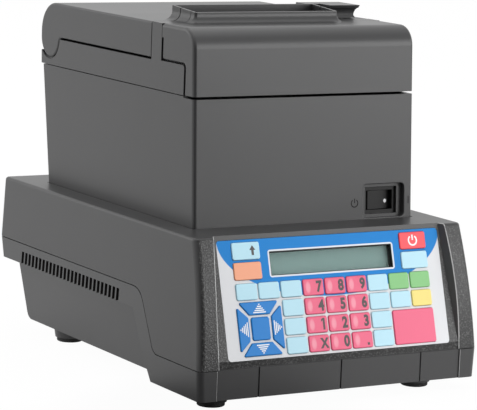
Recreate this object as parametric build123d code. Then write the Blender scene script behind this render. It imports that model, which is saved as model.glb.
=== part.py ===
from build123d import *
from math import atan2, cos, degrees, radians, sin, tan
import os

os.makedirs("parts", exist_ok=True)

# Millimetres. X runs to the right, Y to the rear, Z up. Z = 0 is the table.

reach = 200.0
past = 1.0

# Base, outside
baseHalfAtSeam = 91.2
deckTaper = 3.8
floorTaper = 0.9
baseHalfAtDeck = baseHalfAtSeam - deckTaper
baseHalfAtFloor = baseHalfAtSeam - floorTaper
frontY = -127.5
rearY = 127.5
floorZ = 7.2
frontSeamZ = 24.0
rearSeamZ = 57.0
deckZ = 93.8
deckFrontY = frontY + 16.3
slopeFootY = -76.0
slopeTopY = -55.3
bandDrop = 12.0
bandRearY = rearY - 4.8
bandRearZ = rearSeamZ - bandDrop
wall = 2.5
seamGap = 0.5
seamTopRound = 14.0
seamFootRound = 8.0
lipRise = 2.0
lipThickness = 1.1
lipClearance = 0.15
frontUprightRound = 3.5
rearUprightRound = 3.0
frontBulge = 2.4
deckRimRound = 1.8

# Recessed lower body
lowBodyHalfTop = baseHalfAtSeam - 9.0
lowBodyHalfFloor = lowBodyHalfTop - 5.5
lowBodyRearTop = rearY - 6.6
lowBodyRearFloor = rearY - 16.5
lowBodySetback = 3.0
lowBodyFootRound = 5.0
coveRadius = 6.0

# Front skirt
skirtSetback = 0.9
grooveX = 53.0
grooveWidth = 1.0
grooveDepth = 0.7

ventCount = 27
ventPitch = 4.75
ventWidth = 3.1
ventRearY = 93.8
ventTopZ = rearSeamZ - 4.7
# The slots run on below the band, into the recessed wall behind it
ventDip = 2.2

footRadius = 7.8
footHeight = 2.6
footEdge = 0.8
footBossRadius = 8.8
footBossFlare = 0.9
footPlaces = [(-71.0, -106.5), (64.0, -105.5), (-67.0, 73.0), (67.0, 73.0)]

screwRadius = 1.5
screwHeadRadius = 3.0
screwHeadHeight = 2.4
postRadius = 6.0
wellRadius = 3.6
wellTopZ = 30.0
postSplitZ = wellTopZ + 10.0
postGap = 0.2
caseScrewLength = 26.0
casePosts = [(-70.0, -91.0), (70.0, -91.0), (-66.0, 88.0), (66.0, 88.0)]

# Keypad panel: a plane that leans back
panelWidth = 145.0
panelHeight = 65.7
cheekInnerX = panelWidth / 2 + 6.0
# The cheeks' inner faces come in towards the deck and open outwards
cheekTaper = 4.8
cheekDraft = 28.0
cheekRound = 0.6
skirtCheekX = cheekInnerX + 0.9
skirtCheekRound = 0.5
panelBottomY = frontY + 0.8
panelBottomZ = frontSeamZ + 4.1
panelLean = 16.4
plateThickness = 2.0
plateCorner = 2.0
plateFit = 0.2
consoleWallDepth = 4.5
plateLedgeSide = 4.0
plateLedgeFoot = 0.6
apertureWidth = panelWidth - 2 * plateLedgeSide
apertureBottom = plateLedgeFoot
apertureTop = panelHeight - plateLedgeFoot

keyPitchU = 14.2
keyPitchV = 10.4
keyWidth = keyPitchU - 1.0
keyHeight = keyPitchV - 1.4
firstRowV = 37.1
keyRowV = [firstRowV - row * keyPitchV for row in range(4)]
sideKeyU = 54.7
sideKeyV = [59.4, 48.4]
sideKeySize = (17.5, 9.5)
totalKeyAt = (49.7, 11.0)
totalKeySize = (27.6, 19.3)
padAt = (-50.3, 16.6)
padCentreSize = (11.3, 12.5)
# Cursor keys from the pad's centre: near side, far side, half width near, half width far
padUpright = (7.7, 14.7, 6.5, 12.5)
padSideways = (7.3, 14.0, 6.3, 12.4)
padCorner = 0.6
keyCorner = 1.2
keyRise = 0.7
keyEdge = 0.45
keyGap = 0.2
keyTravel = 0.5
flangeOut = 0.33
flangeGap = 0.25
flangeThickness = 1.0
flangeTop = -plateThickness - flangeGap
flangeBottom = flangeTop - flangeThickness
switchHeight = 0.8
stemSize = 3.0
switchSize = 4.0
boardTop = flangeBottom - 3.05
switchTop = boardTop + switchHeight
stemBottom = switchTop + keyTravel + 0.1
boardThickness = 1.6
boardHalfWidth = panelWidth / 2 + 2.5
boardBottomV = -0.3
boardTopV = panelHeight - 0.2
boardPostU = panelWidth / 2 - 0.2
boardPostV = [6.0, panelHeight - 5.7]
boardPostRadius = 2.6
boardScrewRadius = 0.9
boardScrewHead = (2.0, 1.4)
boardScrewTip = 3.0
boardHoleRadius = 1.1

displayLeft = -39.8
displayRight = 40.3
displayBottom = 45.0
displayTop = 58.4
windowMargin = 1.8
windowThickness = 1.2
moduleGap = 0.1
moduleInset = 0.6
moduleRecess = 0.5

# Printer
printerHalf = 72.5
printerFrontAtDeck = -83.25
printerRearAtDeck = 97.2
lowerHeight = 71.5
upperHeight = 38.0
mainSeamZ = deckZ + lowerHeight
printerTopZ = mainSeamZ + upperHeight
printerFrontAtSeam = printerFrontAtDeck + 4.45
printerRearAtSeam = printerRearAtDeck + 11.5
pocketFloorZ = deckZ - 3.0
printerBottomZ = pocketFloorZ + 0.4
pocketGap = 0.4
trayMargin = 3.5
frontRoundRadius = 12.0
frontEdgeRadius = 2.2
rearEdgeRadius = 2.0
frontGap = 1.5
thinGap = 0.5
cableHoleHalf = 18.0
cableHoleY = (42.0, 68.0)
cableHoleMargin = 2.0

# Mid frame and lid
frameFrontY = printerFrontAtSeam + 11.8
postFrontY = -40.5
postDepth = 11.8
lidSeamY = postFrontY + postDepth
lidSeamGap = 0.8
frameStepZ = printerTopZ - 20.9
frameStepRound = 2.0
postSlotWidth = 1.8
postSlotTopZ = printerTopZ - 7.8
coverRail = 1.7
frameSideTopZ = printerTopZ - 21.4
lidBottomZ = frameSideTopZ + 1.0
hingeZ = lidBottomZ - 0.4
frameRearY = printerRearAtSeam + 1.6
frameRearSlant = 0.4
lidRearY = frameRearY + 1.3
lobeRadius = 12.1
hingeY = lidRearY - lobeRadius
seatRadius = lobeRadius + 1.2
troughWall = 2.0
lidArcRadius = 17.6
lidArcY = lidRearY - lidArcRadius
lidArcZ = printerTopZ - lidArcRadius
lidRimRound = 1.2
lobeJoinRound = 3.5
lobeFrontY = hingeY - 16.0
frameRearZ = hingeZ - 9.0
hingePinRadius = 2.0
pinEnd = 0.9
shaftClearance = 0.06
knuckleRadius = 6.0
knuckleOuter = printerHalf - 3.0
knuckleInner = knuckleOuter - 7.5
knuckleWebY = (hingeY - 13.0, hingeY - 1.5)
frameFloorLow = mainSeamZ + 0.7
frameFloorHigh = frameFloorLow + 2.5

# What stands across the printer, from the right wall to the left
leverRight = printerHalf - 6.0
leverWidth = 20.5
leverLeft = leverRight - leverWidth
sidePlateRight = leverLeft - 1.0
rollerRight = sidePlateRight - 11.0
sheetThickness = 1.2
motorLeft = -printerHalf + 3.5
motorRight = motorLeft + 9.6
sidePlateLeft = motorRight + 0.1
gearLeft = sidePlateLeft + sheetThickness + 0.5
gearRight = gearLeft + 4.0
rollerLeft = gearRight + 3.6

# Paper roll bucket
bucketLeft = rollerLeft + 1.0
bucketRight = rollerRight - 1.0
bucketY = lidSeamY + 62.7
bucketZ = mainSeamZ - 10.3
bucketRadius = 42.5
bucketWall = 2.0

# Paper exit and the collar round it
exitLeft = rollerLeft - 3.0
exitRight = leverLeft - 7.5
exitFrontY = postFrontY - 3.5
exitRearY = lidSeamY + 9.2
collarWall = 1.5
collarFoot = 5.0
collarRimFront = printerTopZ + 6.1
collarRimRear = printerTopZ + 8.2

# Print mechanism
platenY = lidSeamY + 8.2
platenZ = printerTopZ - 21.3
platenRadius = 7.4
platenShaftRadius = 2.5
bracketThickness = 2.0
bracketRadius = 4.8
bracketHalfDepth = 5.0
rollerEndGap = 1.0
gearModule = 0.6
platenTeeth = 24
driveTeeth = 36
driveAngle = 26.0
driveShaftRadius = 1.5
motorRadius = 14.0
mechFrontY = frameFrontY + 5.0
mechStepY = mechFrontY + 16.5
mechRearY = platenY + 6.5
shelfZ = printerTopZ - 12.3
bladeThickness = 1.2
bladeLift = 0.15
bladeLength = 19.0
bladeEdgeY = lidSeamY - 2.3
bladeFrontY = bladeEdgeY - bladeLength
bladeBevel = 1.5
railHeight = 2.5
railWidth = 1.5
railGap = 0.5
headGap = 0.4
headFaceY = platenY - platenRadius - headGap
headRearY = headFaceY - 7.7
ceramicThickness = 1.5
headLowZ = frameFloorHigh + 6.3
headHighZ = shelfZ - 3.5
finCount = 6
finPitch = 1.9
finGap = 0.9

# Release lever
leverPivotY = platenY
leverPivotZ = printerTopZ - 5.8
leverTopZ = printerTopZ + 8.0
leverLipThickness = 1.4
leverNeck = 2.6
leverFrontY = leverPivotY - 7.5
leverRearY = leverPivotY + 15.5
leverFootZ = printerTopZ + 0.5
leverStemHalf = 3.0
leverPivotRadius = 1.5
leverHubRadius = 3.0
leverWing = 9.5
earInset = 0.6
earThickness = 2.1
earHalf = 3.5
slotInset = 1.9
hookHalfDepth = 1.5
hookWidth = 6.0
hookBottomZ = leverPivotZ - 10.5

# Power switch, in a plane on the leaning front
switchX = 52.6
switchZ = 104.0
recessWidth = 28.2
recessHeight = 19.2
recessDepth = 3.0
recessCorner = 2.4
recessRim = 0.5
bezelWidth = 21.0
bezelHeight = 15.0
bezelThickness = 1.0
bezelFit = 0.3
bezelSunk = 1.6
switchPad = 1.6
bodyWidth = 19.2
bodyHeight = 12.9
bodyDepth = 16.0
pocketWidth = 17.8
pocketHeight = 11.2
rockerRadius = 8.6
rockerTop = 1.9
rockerBelow = 4.5
rockerSunk = 1.35
rockerHalfHeight = 5.3
rockerAxleRadius = 1.2
rockerAxleHalf = 6.05
rockerTilt = 10.0
terminalSize = (0.8, 4.8, 6.0)
terminalPitch = 5.0

# Main board and its sockets
mainBoardZ = floorZ + 7.8
mainBoardHalf = 60.0
mainBoardFrontY = -50.0
mainBoardRearY = rearY - 23.5
standoffInset = 5.0
standoffRearInset = 30.0
standoffRadius = 3.5
socketFaceY = rearY - 18.5
socketWall = 1.2
socketFit = 0.5
# x, width, height, depth, hole width, hole height
sockets = {
    "power": (-45.0, 10.0, 11.0, 14.0, 6.4, 6.4),
    "host": (-22.0, 12.0, 11.0, 16.0, 8.6, 7.8),
    "network": (6.0, 16.0, 13.5, 21.0, 11.8, 8.2),
    "drawer": (32.0, 13.2, 11.5, 18.0, 9.8, 6.8),
}
# Chips: x, y, width, depth, height. Capacitors: x, y, radius, height.
chips = [(-9.0, 19.0, 18.0, 18.0, 1.6), (20.0, -14.0, 12.0, 12.0, 1.2)]
capacitors = [(-42.0, 60.0, 6.5, 16.0), (-42.0, 42.0, 5.0, 12.0)]


def block(x0, x1, y0, y1, z0, z1):
    middle = Pos((x0 + x1) / 2, (y0 + y1) / 2, (z0 + z1) / 2)
    return middle * Box(x1 - x0, y1 - y0, z1 - z0)


def between(y0, y1):
    """Everything from y0 to y1."""
    return block(-reach, reach, y0, y1, -reach, 2 * reach)


def sideProfile(points, rounds=()):
    """Closed outline of (y, z) points; rounds holds (y, z, radius)."""
    face = make_face(Polyline(*[(y, z) for y, z in points], close=True))
    for y, z, radius in rounds:
        corner = face.vertices().sort_by_distance((y, z, 0))[0]
        face = fillet(corner, radius)
    return face


def acrossX(face, x0, x1):
    return extrude(Plane.YZ.offset(x0) * face, amount=x1 - x0)


def alongY(points, y0, y1):
    """Outline of (x, z) points carried from y0 to y1."""
    face = make_face(Polyline(*[(x, z) for x, z in points], close=True))
    plane = Plane(origin=(0, y1, 0), x_dir=(1, 0, 0), z_dir=(0, -1, 0))
    return extrude(plane * face, amount=y1 - y0)


def rodX(y, z, radius, x0, x1):
    return Plane.YZ.offset(x0) * Pos(y, z) * extrude(Circle(radius), amount=x1 - x0)


def rodZ(x, y, radius, z0, z1):
    return Pos(x, y, z0) * extrude(Circle(radius), amount=z1 - z0)


def leaningPlane(x, y, z, lean):
    """Local x to the right, local y up the slope, local z outward."""
    outward = (0, -cos(radians(lean)), sin(radians(lean)))
    return Plane(origin=(x, y, z), x_dir=(1, 0, 0), z_dir=outward)


panel = leaningPlane(0, panelBottomY, panelBottomZ, panelLean)
printerFrontLean = degrees(atan2(printerFrontAtSeam - printerFrontAtDeck, lowerHeight))


def frontYAt(z):
    """Y of the printer's leaning front at a height."""
    return printerFrontAtDeck + (z - deckZ) * tan(radians(printerFrontLean))


def rearYAt(z):
    return printerRearAtDeck + (z - deckZ) * (printerRearAtSeam - printerRearAtDeck) / lowerHeight


switchPlane = leaningPlane(switchX, frontYAt(switchZ), switchZ, printerFrontLean)
bezelFace = -recessDepth - bezelSunk
bezelSeat = bezelFace - bezelThickness
rockerPivotW = bezelFace - rockerSunk - rockerTop


def panelSlab(outline, low, high):
    """Outline in panel coordinates, between two heights over the panel."""
    return extrude(panel * Pos(0, 0, low) * outline, amount=high - low)


def switchSlab(outline, low, high):
    return extrude(switchPlane * Pos(0, 0, low) * outline, amount=high - low)


def save(shape, name):
    shape.label = name
    export_step(shape, f"parts/{name}.step")
    print(name, "saved")


# ---- Base

slopeAngle = degrees(atan2(rearSeamZ - frontSeamZ, slopeTopY - slopeFootY))


def underSeam(drop, topRound, footRound, footZ=None):
    """Everything under the S-shaped seam moved square to itself by drop."""
    slant = radians(slopeAngle)
    topY = slopeTopY + drop * tan(slant / 2)
    topZ = rearSeamZ - drop
    level = frontSeamZ - drop if footZ is None else footZ
    footY = topY - (topZ - level) / tan(slant)
    points = [(-reach, level), (footY, level), (topY, topZ), (reach, topZ),
              (reach, -reach), (-reach, -reach)]
    rounds = []
    if topRound > 0:
        rounds.append((topY, topZ, topRound))
    if footRound > 0:
        rounds.append((footY, level, footRound))
    return acrossX(sideProfile(points, rounds), -reach, reach)


def underSeamSoft(drop):
    return underSeam(drop, seamTopRound, seamFootRound)


def baseBlock(inset):
    """The base's outer form, moved inward by inset."""
    sides = [(frontY + inset, frontSeamZ), (frontY + inset, floorZ + inset),
             (bandRearY - inset, floorZ + inset), (bandRearY - inset, bandRearZ),
             (rearY - inset, rearSeamZ), (rearY - inset, deckZ - inset),
             (deckFrontY + inset, deckZ - inset)]
    front = [(-baseHalfAtFloor + inset, floorZ + inset), (baseHalfAtFloor - inset, floorZ + inset),
             (baseHalfAtSeam - inset, frontSeamZ), (baseHalfAtDeck - inset, deckZ - inset),
             (-baseHalfAtDeck + inset, deckZ - inset), (-baseHalfAtSeam + inset, frontSeamZ)]
    lowEnd, highEnd = (frontY + inset, frontSeamZ), (deckFrontY + inset, deckZ - inset)
    rise, run = highEnd[1] - lowEnd[1], highEnd[0] - lowEnd[0]
    chord = (rise ** 2 + run ** 2) ** 0.5
    middle = ((lowEnd[0] + highEnd[0]) / 2 - frontBulge * rise / chord,
              (lowEnd[1] + highEnd[1]) / 2 + frontBulge * run / chord)
    bow = make_face([ThreePointArc(lowEnd, middle, highEnd), Line(highEnd, lowEnd)])
    return acrossX(sideProfile(sides) + bow, -reach, reach) & alongY(front, -reach, reach)


def isUpright(edge):
    return abs(edge.tangent_at(0.5).Z) > 0.85


def softenedBase():
    """Outer form with its rounded edges."""
    form = baseBlock(0)
    front = form.edges().filter_by(lambda e: isUpright(e) and e.center().Y < deckFrontY)
    form = fillet(front, frontUprightRound)
    rear = form.edges().filter_by(lambda e: isUpright(e) and e.center().Y > bandRearY - past)
    form = fillet(rear, rearUprightRound)
    rims = form.edges().filter_by(lambda e: abs(e.center().Z - deckZ) < 0.1)
    return fillet(rims.filter_by(lambda e: e.center().Y > deckFrontY + past), deckRimRound)


def lowBody(inset):
    """Recessed body below the band."""
    front = frontY + lowBodySetback
    sides = [(front, floorZ + inset), (lowBodyRearFloor - inset, floorZ + inset),
             (lowBodyRearTop - inset, rearSeamZ), (front, rearSeamZ)]
    across = [(-lowBodyHalfFloor + inset, floorZ + inset), (lowBodyHalfFloor - inset, floorZ + inset),
              (lowBodyHalfTop - inset, rearSeamZ), (-lowBodyHalfTop + inset, rearSeamZ)]
    foot = (lowBodyRearFloor - inset, floorZ + inset, lowBodyFootRound - inset)
    return acrossX(sideProfile(sides, [foot]), -reach, reach) & alongY(across, -reach, reach)


def bandRecess():
    """What is cut away below the band; coved where the band slopes down."""
    cut = underSeam(bandDrop, 0, 0, floorZ - 10) - lowBody(0)
    slant = radians(slopeAngle)

    def runsDownSlope(edge):
        tangent = edge.tangent_at(0.5)
        nearBody = lowBodyHalfFloor - past < abs(edge.center().X) < lowBodyHalfTop + past
        return nearBody and abs(abs(tangent.Z) - sin(slant)) < 0.1 and edge.center().Z > floorZ - 10

    return fillet(cut.edges().filter_by(runsDownSlope), coveRadius)


def ventCuts():
    cuts = []
    for index in range(ventCount):
        y = ventRearY - index * ventPitch
        for sign in (-1, 1):
            x0, x1 = sorted((sign * (lowBodyHalfTop - 2 * wall), sign * (baseHalfAtSeam + past)))
            cuts.append(block(x0, x1, y - ventWidth / 2, y + ventWidth / 2, bandRearZ - ventDip, ventTopZ))
    return cuts


def socketWindow(name):
    x, width, height = sockets[name][:3]
    low = mainBoardZ + boardThickness
    return block(x - width / 2 - socketFit, x + width / 2 + socketFit, socketFaceY - 3,
                 lowBodyRearTop, low - socketFit, low + height + socketFit)


def baseLowerCase():
    form = softenedBase()
    inner = baseBlock(wall)
    shelf = underSeam(bandDrop - wall, 3.0, 0, floorZ - 10)
    shell = form & underSeamSoft(seamGap / 2)
    shell = shell - bandRecess()
    shell = shell - (inner - shelf) - lowBody(wall)
    lip = (baseBlock(wall - lipThickness) - inner) & underSeamSoft(-lipRise)
    shell = shell + (lip - underSeamSoft(seamGap))
    shell = shell - block(-skirtCheekX, skirtCheekX, frontY - past, frontY + skirtSetback, floorZ - past, frontSeamZ)
    steps = shell.edges().filter_by(lambda e: isUpright(e) and abs(abs(e.center().X) - skirtCheekX) < 0.01
                                    and abs(e.center().Y - frontY) < 0.01)
    shell = fillet(steps, skirtCheekRound)
    for x in (-grooveX, 0, grooveX):
        shell = shell - block(x - grooveWidth / 2, x + grooveWidth / 2, frontY - past,
                              frontY + skirtSetback + grooveDepth, floorZ - past, frontSeamZ)
    for x, y in casePosts:
        shell = shell + rodZ(x, y, postRadius, floorZ + past, postSplitZ)
    for x in (-mainBoardHalf + standoffInset, mainBoardHalf - standoffInset):
        for y in (mainBoardFrontY + standoffInset, mainBoardRearY - standoffRearInset):
            shell = shell + rodZ(x, y, standoffRadius, floorZ + past, mainBoardZ)
    for x, y in footPlaces:
        height = floorZ + past - footHeight
        boss = Cone(footBossRadius, footBossRadius + footBossFlare, height)
        shell = shell + Pos(x, y, footHeight + height / 2) * boss
    for x, y in casePosts:
        shell = shell - rodZ(x, y, wellRadius, floorZ - past, wellTopZ)
        shell = shell - rodZ(x, y, screwRadius, wellTopZ - past, postSplitZ + past)
    shell = shell - ventCuts()
    for name in sockets:
        shell = shell - socketWindow(name)
    return shell


def isCheekEdge(edge):
    """Inner edge of a cheek's bowed front."""
    low, high = sorted((edge @ 0, edge @ 1), key=lambda point: point.Z)
    inward = abs(edge.center().X) < cheekInnerX + wall
    return inward and high.Z - low.Z > panelHeight and low.Y < frontY + past


def cheekOpening():
    """What is cut away between the cheeks, in front of the keypad panel and of the foot of its frame."""
    spread = tan(radians(cheekDraft))

    def outline(w):
        corners = []
        for v, sign in ((-reach, -1), (-reach, 1), (reach, 1), (reach, -1)):
            corners.append((sign * (cheekInnerX - cheekTaper * v / panelHeight + spread * w), v))
        return panel * Pos(0, 0, w) * make_face(Polyline(*corners, close=True))

    between = loft([outline(-consoleWallDepth), outline(deckZ / 2)], ruled=True)
    ahead = panelSlab(Pos(0, panelHeight / 2) * Rectangle(2 * reach, 2 * reach), 0, deckZ / 2)
    foot = block(-reach, reach, frontY - past, frontY + skirtSetback, floorZ, panelBottomZ + past)
    return between & (ahead + foot)


def baseUpperCase():
    above = block(-reach, reach, -reach, reach, 0, reach) - underSeamSoft(-seamGap / 2)
    wide = Pos(0, panelHeight / 2) * Rectangle(2 * (cheekInnerX + wall), 2 * reach)
    console = panelSlab(wide, -consoleWallDepth, reach)
    cavity = baseBlock(wall) - console
    shell = (softenedBase() & above) - cavity
    shell = shell - cheekOpening()
    shell = fillet(shell.edges().filter_by(isCheekEdge), cheekRound)
    lipRoom = baseBlock(wall - lipThickness - lipClearance) & underSeamSoft(-lipRise - lipClearance)
    shell = shell - (lipRoom - baseBlock(wall + lipClearance))
    shell = shell + block(-printerHalf - trayMargin, printerHalf + trayMargin, printerFrontAtDeck - trayMargin,
                          printerRearAtDeck + trayMargin, pocketFloorZ - wall, deckZ)
    shell = shell - block(-printerHalf - pocketGap, printerHalf + pocketGap, frontYAt(printerBottomZ) - pocketGap,
                          printerRearAtDeck + pocketGap, pocketFloorZ, deckZ + past)
    hole = cableHoleHalf + cableHoleMargin
    shell = shell - block(-hole, hole, cableHoleY[0] - cableHoleMargin, cableHoleY[1] + cableHoleMargin,
                          pocketFloorZ - wall - past, pocketFloorZ + past)
    seat = RectangleRounded(panelWidth + 2 * plateFit, panelHeight + 2 * plateFit, plateCorner + plateFit)
    shell = shell - panelSlab(Pos(0, panelHeight / 2) * seat, -plateThickness, past)
    aperture = Pos(0, (apertureBottom + apertureTop) / 2)
    aperture = aperture * Rectangle(apertureWidth, apertureTop - apertureBottom)
    shell = shell - panelSlab(aperture, -consoleWallDepth - past, 0)
    for u in (-boardPostU, boardPostU):
        for v in boardPostV:
            shell = shell + panelSlab(Pos(u, v) * Circle(boardPostRadius), boardTop, -consoleWallDepth + past)
            shell = shell - panelSlab(Pos(u, v) * Circle(boardScrewRadius), boardTop - past, -boardScrewTip)
    for x, y in casePosts:
        top = (pocketFloorZ if y > printerFrontAtDeck else deckZ) - past
        shell = shell + rodZ(x, y, postRadius - past, postSplitZ + postGap, top)
        shell = shell - rodZ(x, y, screwRadius, postSplitZ - past, wellTopZ + caseScrewLength)
    return shell


def rubberFeet():
    feet = []
    for x, y in footPlaces:
        foot = rodZ(x, y, footRadius, 0, footHeight)
        feet.append(fillet(foot.edges().group_by(Axis.Z)[0], footEdge))
    return Compound(children=feet)


def caseScrews():
    screws = []
    for x, y in casePosts:
        head = rodZ(x, y, screwHeadRadius, wellTopZ - screwHeadHeight, wellTopZ)
        screws.append(head + rodZ(x, y, screwRadius, wellTopZ, wellTopZ + caseScrewLength))
    back = boardTop - boardThickness
    headRadius, headHeight = boardScrewHead
    for u in (-boardPostU, boardPostU):
        for v in boardPostV:
            head = panelSlab(Pos(u, v) * Circle(headRadius), back - headHeight, back)
            screws.append(head + panelSlab(Pos(u, v) * Circle(boardScrewRadius), back, -boardScrewTip))
    return Compound(children=screws)


# ---- Keypad

def roundKey(u, v, width, height):
    return Pos(u, v) * RectangleRounded(width, height, keyCorner)


def cursorKey(sideways, sign):
    """One of the four trapezoids round the pad's centre key."""
    near, far, halfNear, halfFar = padSideways if sideways else padUpright
    corners = [(near, -halfNear), (far, -halfFar), (far, halfFar), (near, halfNear)]
    centreU, centreV = padAt
    points = []
    for along, aside in corners:
        u, v = (sign * along, aside) if sideways else (aside, sign * along)
        points.append((centreU + u, centreV + v))
    face = make_face(Polyline(*points, close=True))
    return fillet(face.vertices(), padCorner)


def gridKey(column, row):
    return roundKey(column * keyPitchU, keyRowV[row], keyWidth, keyHeight)


def keyOutlines():
    """Name and outline of each key."""
    keys = {}
    digits = {"7": (-1, 0), "8": (0, 0), "9": (1, 0), "4": (-1, 1), "5": (0, 1), "6": (1, 1),
              "1": (-1, 2), "2": (0, 2), "3": (1, 2), "multiply": (-1, 3), "0": (0, 3), "point": (1, 3)}
    for name, (column, row) in digits.items():
        label = f"key_digit_{name}" if name.isdigit() else f"key_{name}"
        keys[label] = gridKey(column, row)
    plain = {"key_select": (-4, 0), "key_enter": (-3, 0), "key_erase": (-2, 0), "key_void": (-2, 1),
             "key_discount": (-2, 2), "key_correct": (-2, 3), "key_department_1": (2, 0),
             "key_department_2": (2, 1), "key_department_3": (2, 2), "key_department_4": (2, 3),
             "key_currency": (3, 0), "key_credit": (4, 0), "key_price_lookup": (3, 1),
             "key_subtotal": (4, 1)}
    for name, (column, row) in plain.items():
        keys[name] = gridKey(column, row)
    sides = {"key_paper_feed": (-1, 0), "key_drawer": (-1, 1), "key_power": (1, 0), "key_document": (1, 1)}
    for name, (side, row) in sides.items():
        keys[name] = roundKey(side * sideKeyU, sideKeyV[row], *sideKeySize)
    keys["key_total"] = roundKey(*totalKeyAt, *totalKeySize)
    keys["key_menu"] = roundKey(*padAt, *padCentreSize)
    keys["key_cursor_up"] = cursorKey(False, 1)
    keys["key_cursor_down"] = cursorKey(False, -1)
    keys["key_cursor_left"] = cursorKey(True, -1)
    keys["key_cursor_right"] = cursorKey(True, 1)
    return keys


keys = keyOutlines()


def keyCap(outline):
    cap = panelSlab(outline, flangeBottom, keyRise)
    top = cap.faces().sort_by(lambda f: f.center().dot(panel.z_dir))[-1]
    cap = fillet(top.edges(), keyEdge)
    flange = panelSlab(offset(outline, amount=flangeOut), flangeBottom, flangeTop)
    middle = outline.center()
    stem = panelSlab(Pos(middle.X, middle.Y) * Rectangle(stemSize, stemSize), stemBottom, flangeBottom)
    return cap + flange + stem


def displayOutline(margin):
    width = displayRight - displayLeft + 2 * margin
    height = displayTop - displayBottom + 2 * margin
    centre = Pos((displayLeft + displayRight) / 2, (displayBottom + displayTop) / 2)
    return centre * Rectangle(width, height)


def keypadFaceplate():
    outline = Pos(0, panelHeight / 2) * RectangleRounded(panelWidth, panelHeight, plateCorner)
    plate = panelSlab(outline, -plateThickness, 0)
    holes = [panelSlab(offset(key, amount=keyGap), -plateThickness - past, past) for key in keys.values()]
    holes.append(panelSlab(displayOutline(0), -plateThickness - past, past))
    return plate - holes


def lcdWindow():
    return panelSlab(displayOutline(windowMargin), -plateThickness - windowThickness, -plateThickness)


def lcdModule():
    front = -plateThickness - windowThickness - moduleGap
    body = panelSlab(displayOutline(windowMargin - moduleInset), boardTop, front)
    return body - panelSlab(displayOutline(-moduleRecess), front - moduleRecess, front + past)


def keypadCircuitBoard():
    outline = Pos(0, (boardBottomV + boardTopV) / 2)
    outline = outline * Rectangle(2 * boardHalfWidth, boardTopV - boardBottomV)
    board = panelSlab(outline, boardTop - boardThickness, boardTop)
    for u in (-boardPostU, boardPostU):
        for v in boardPostV:
            hole = Pos(u, v) * Circle(boardHoleRadius)
            board = board - panelSlab(hole, boardTop - boardThickness - past, boardTop + past)
    switches = []
    for key in keys.values():
        middle = key.center()
        square = Pos(middle.X, middle.Y) * Rectangle(switchSize, switchSize)
        switches.append(panelSlab(square, boardTop, switchTop))
    return board + switches


def mainBoard():
    top = mainBoardZ + boardThickness
    board = block(-mainBoardHalf, mainBoardHalf, mainBoardFrontY, mainBoardRearY, mainBoardZ, top)
    for x, y, width, depth, height in chips:
        board = board + block(x - width / 2, x + width / 2, y - depth / 2, y + depth / 2, top, top + height)
    for x, y, radius, height in capacitors:
        board = board + rodZ(x, y, radius, top, top + height)
    for x, width, height, depth, holeWidth, holeHeight in sockets.values():
        shell = block(x - width / 2, x + width / 2, socketFaceY - depth, socketFaceY, top, top + height)
        middle = top + height / 2
        hole = block(x - holeWidth / 2, x + holeWidth / 2, socketFaceY - depth + socketWall, socketFaceY + past,
                     middle - holeHeight / 2, middle + holeHeight / 2)
        board = board + (shell - hole)
    return board


# ---- Printer

def printerBlock(points, inset, rounds=()):
    return acrossX(sideProfile(points, rounds), -printerHalf + inset, printerHalf - inset)


def softenFrontUprights(form):
    upright = form.edges().filter_by(isUpright)
    front = upright.filter_by(lambda e: e.center().Y < frameFrontY and abs(e.center().X) > printerHalf - 0.1)
    return fillet(front, frontEdgeRadius)


def printerLowerCase():
    outer = printerBlock([(frontYAt(printerBottomZ), printerBottomZ), (frontYAt(mainSeamZ), mainSeamZ),
                          (rearYAt(mainSeamZ), mainSeamZ), (rearYAt(printerBottomZ), printerBottomZ)], 0)
    outer = softenFrontUprights(outer)
    rear = outer.edges().filter_by(lambda e: isUpright(e) and e.center().Y > lobeFrontY)
    outer = fillet(rear, rearEdgeRadius)
    floor = printerBottomZ + wall
    inner = printerBlock([(frontYAt(floor) + wall, floor), (frontYAt(reach) + wall, reach),
                          (rearYAt(reach) - wall, reach), (rearYAt(floor) - wall, floor)], wall)
    shell = outer - inner
    pad = Rectangle(recessWidth + 2 * switchPad, recessHeight + 2 * switchPad)
    shell = shell + (switchSlab(pad, bezelSeat - switchPad, -wall / 2) & outer)
    shell = shell - block(-reach, reach, -reach, frameFrontY - pocketGap, mainSeamZ - frontGap / 2, reach)
    shell = shell - block(-cableHoleHalf, cableHoleHalf, *cableHoleY, printerBottomZ - past, floor + past)
    shell = shell - switchSlab(RectangleRounded(recessWidth, recessHeight, recessCorner), -recessDepth, past)

    def onRecessRim(edge):
        place = switchPlane.to_local_coords(edge.center())
        aside, above = abs(place.X) - recessWidth / 2, abs(place.Y) - recessHeight / 2
        return abs(place.Z) < 0.01 and aside < 0.1 and above < 0.1

    shell = fillet(shell.edges().filter_by(onRecessRim), recessRim)
    step = Rectangle(bezelWidth + 2 * bezelFit, bezelHeight + 2 * bezelFit)
    shell = shell - switchSlab(step, bezelSeat, 0)
    return shell - switchSlab(Rectangle(bodyWidth, bodyHeight), bezelSeat - switchPad - past, 0)


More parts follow.
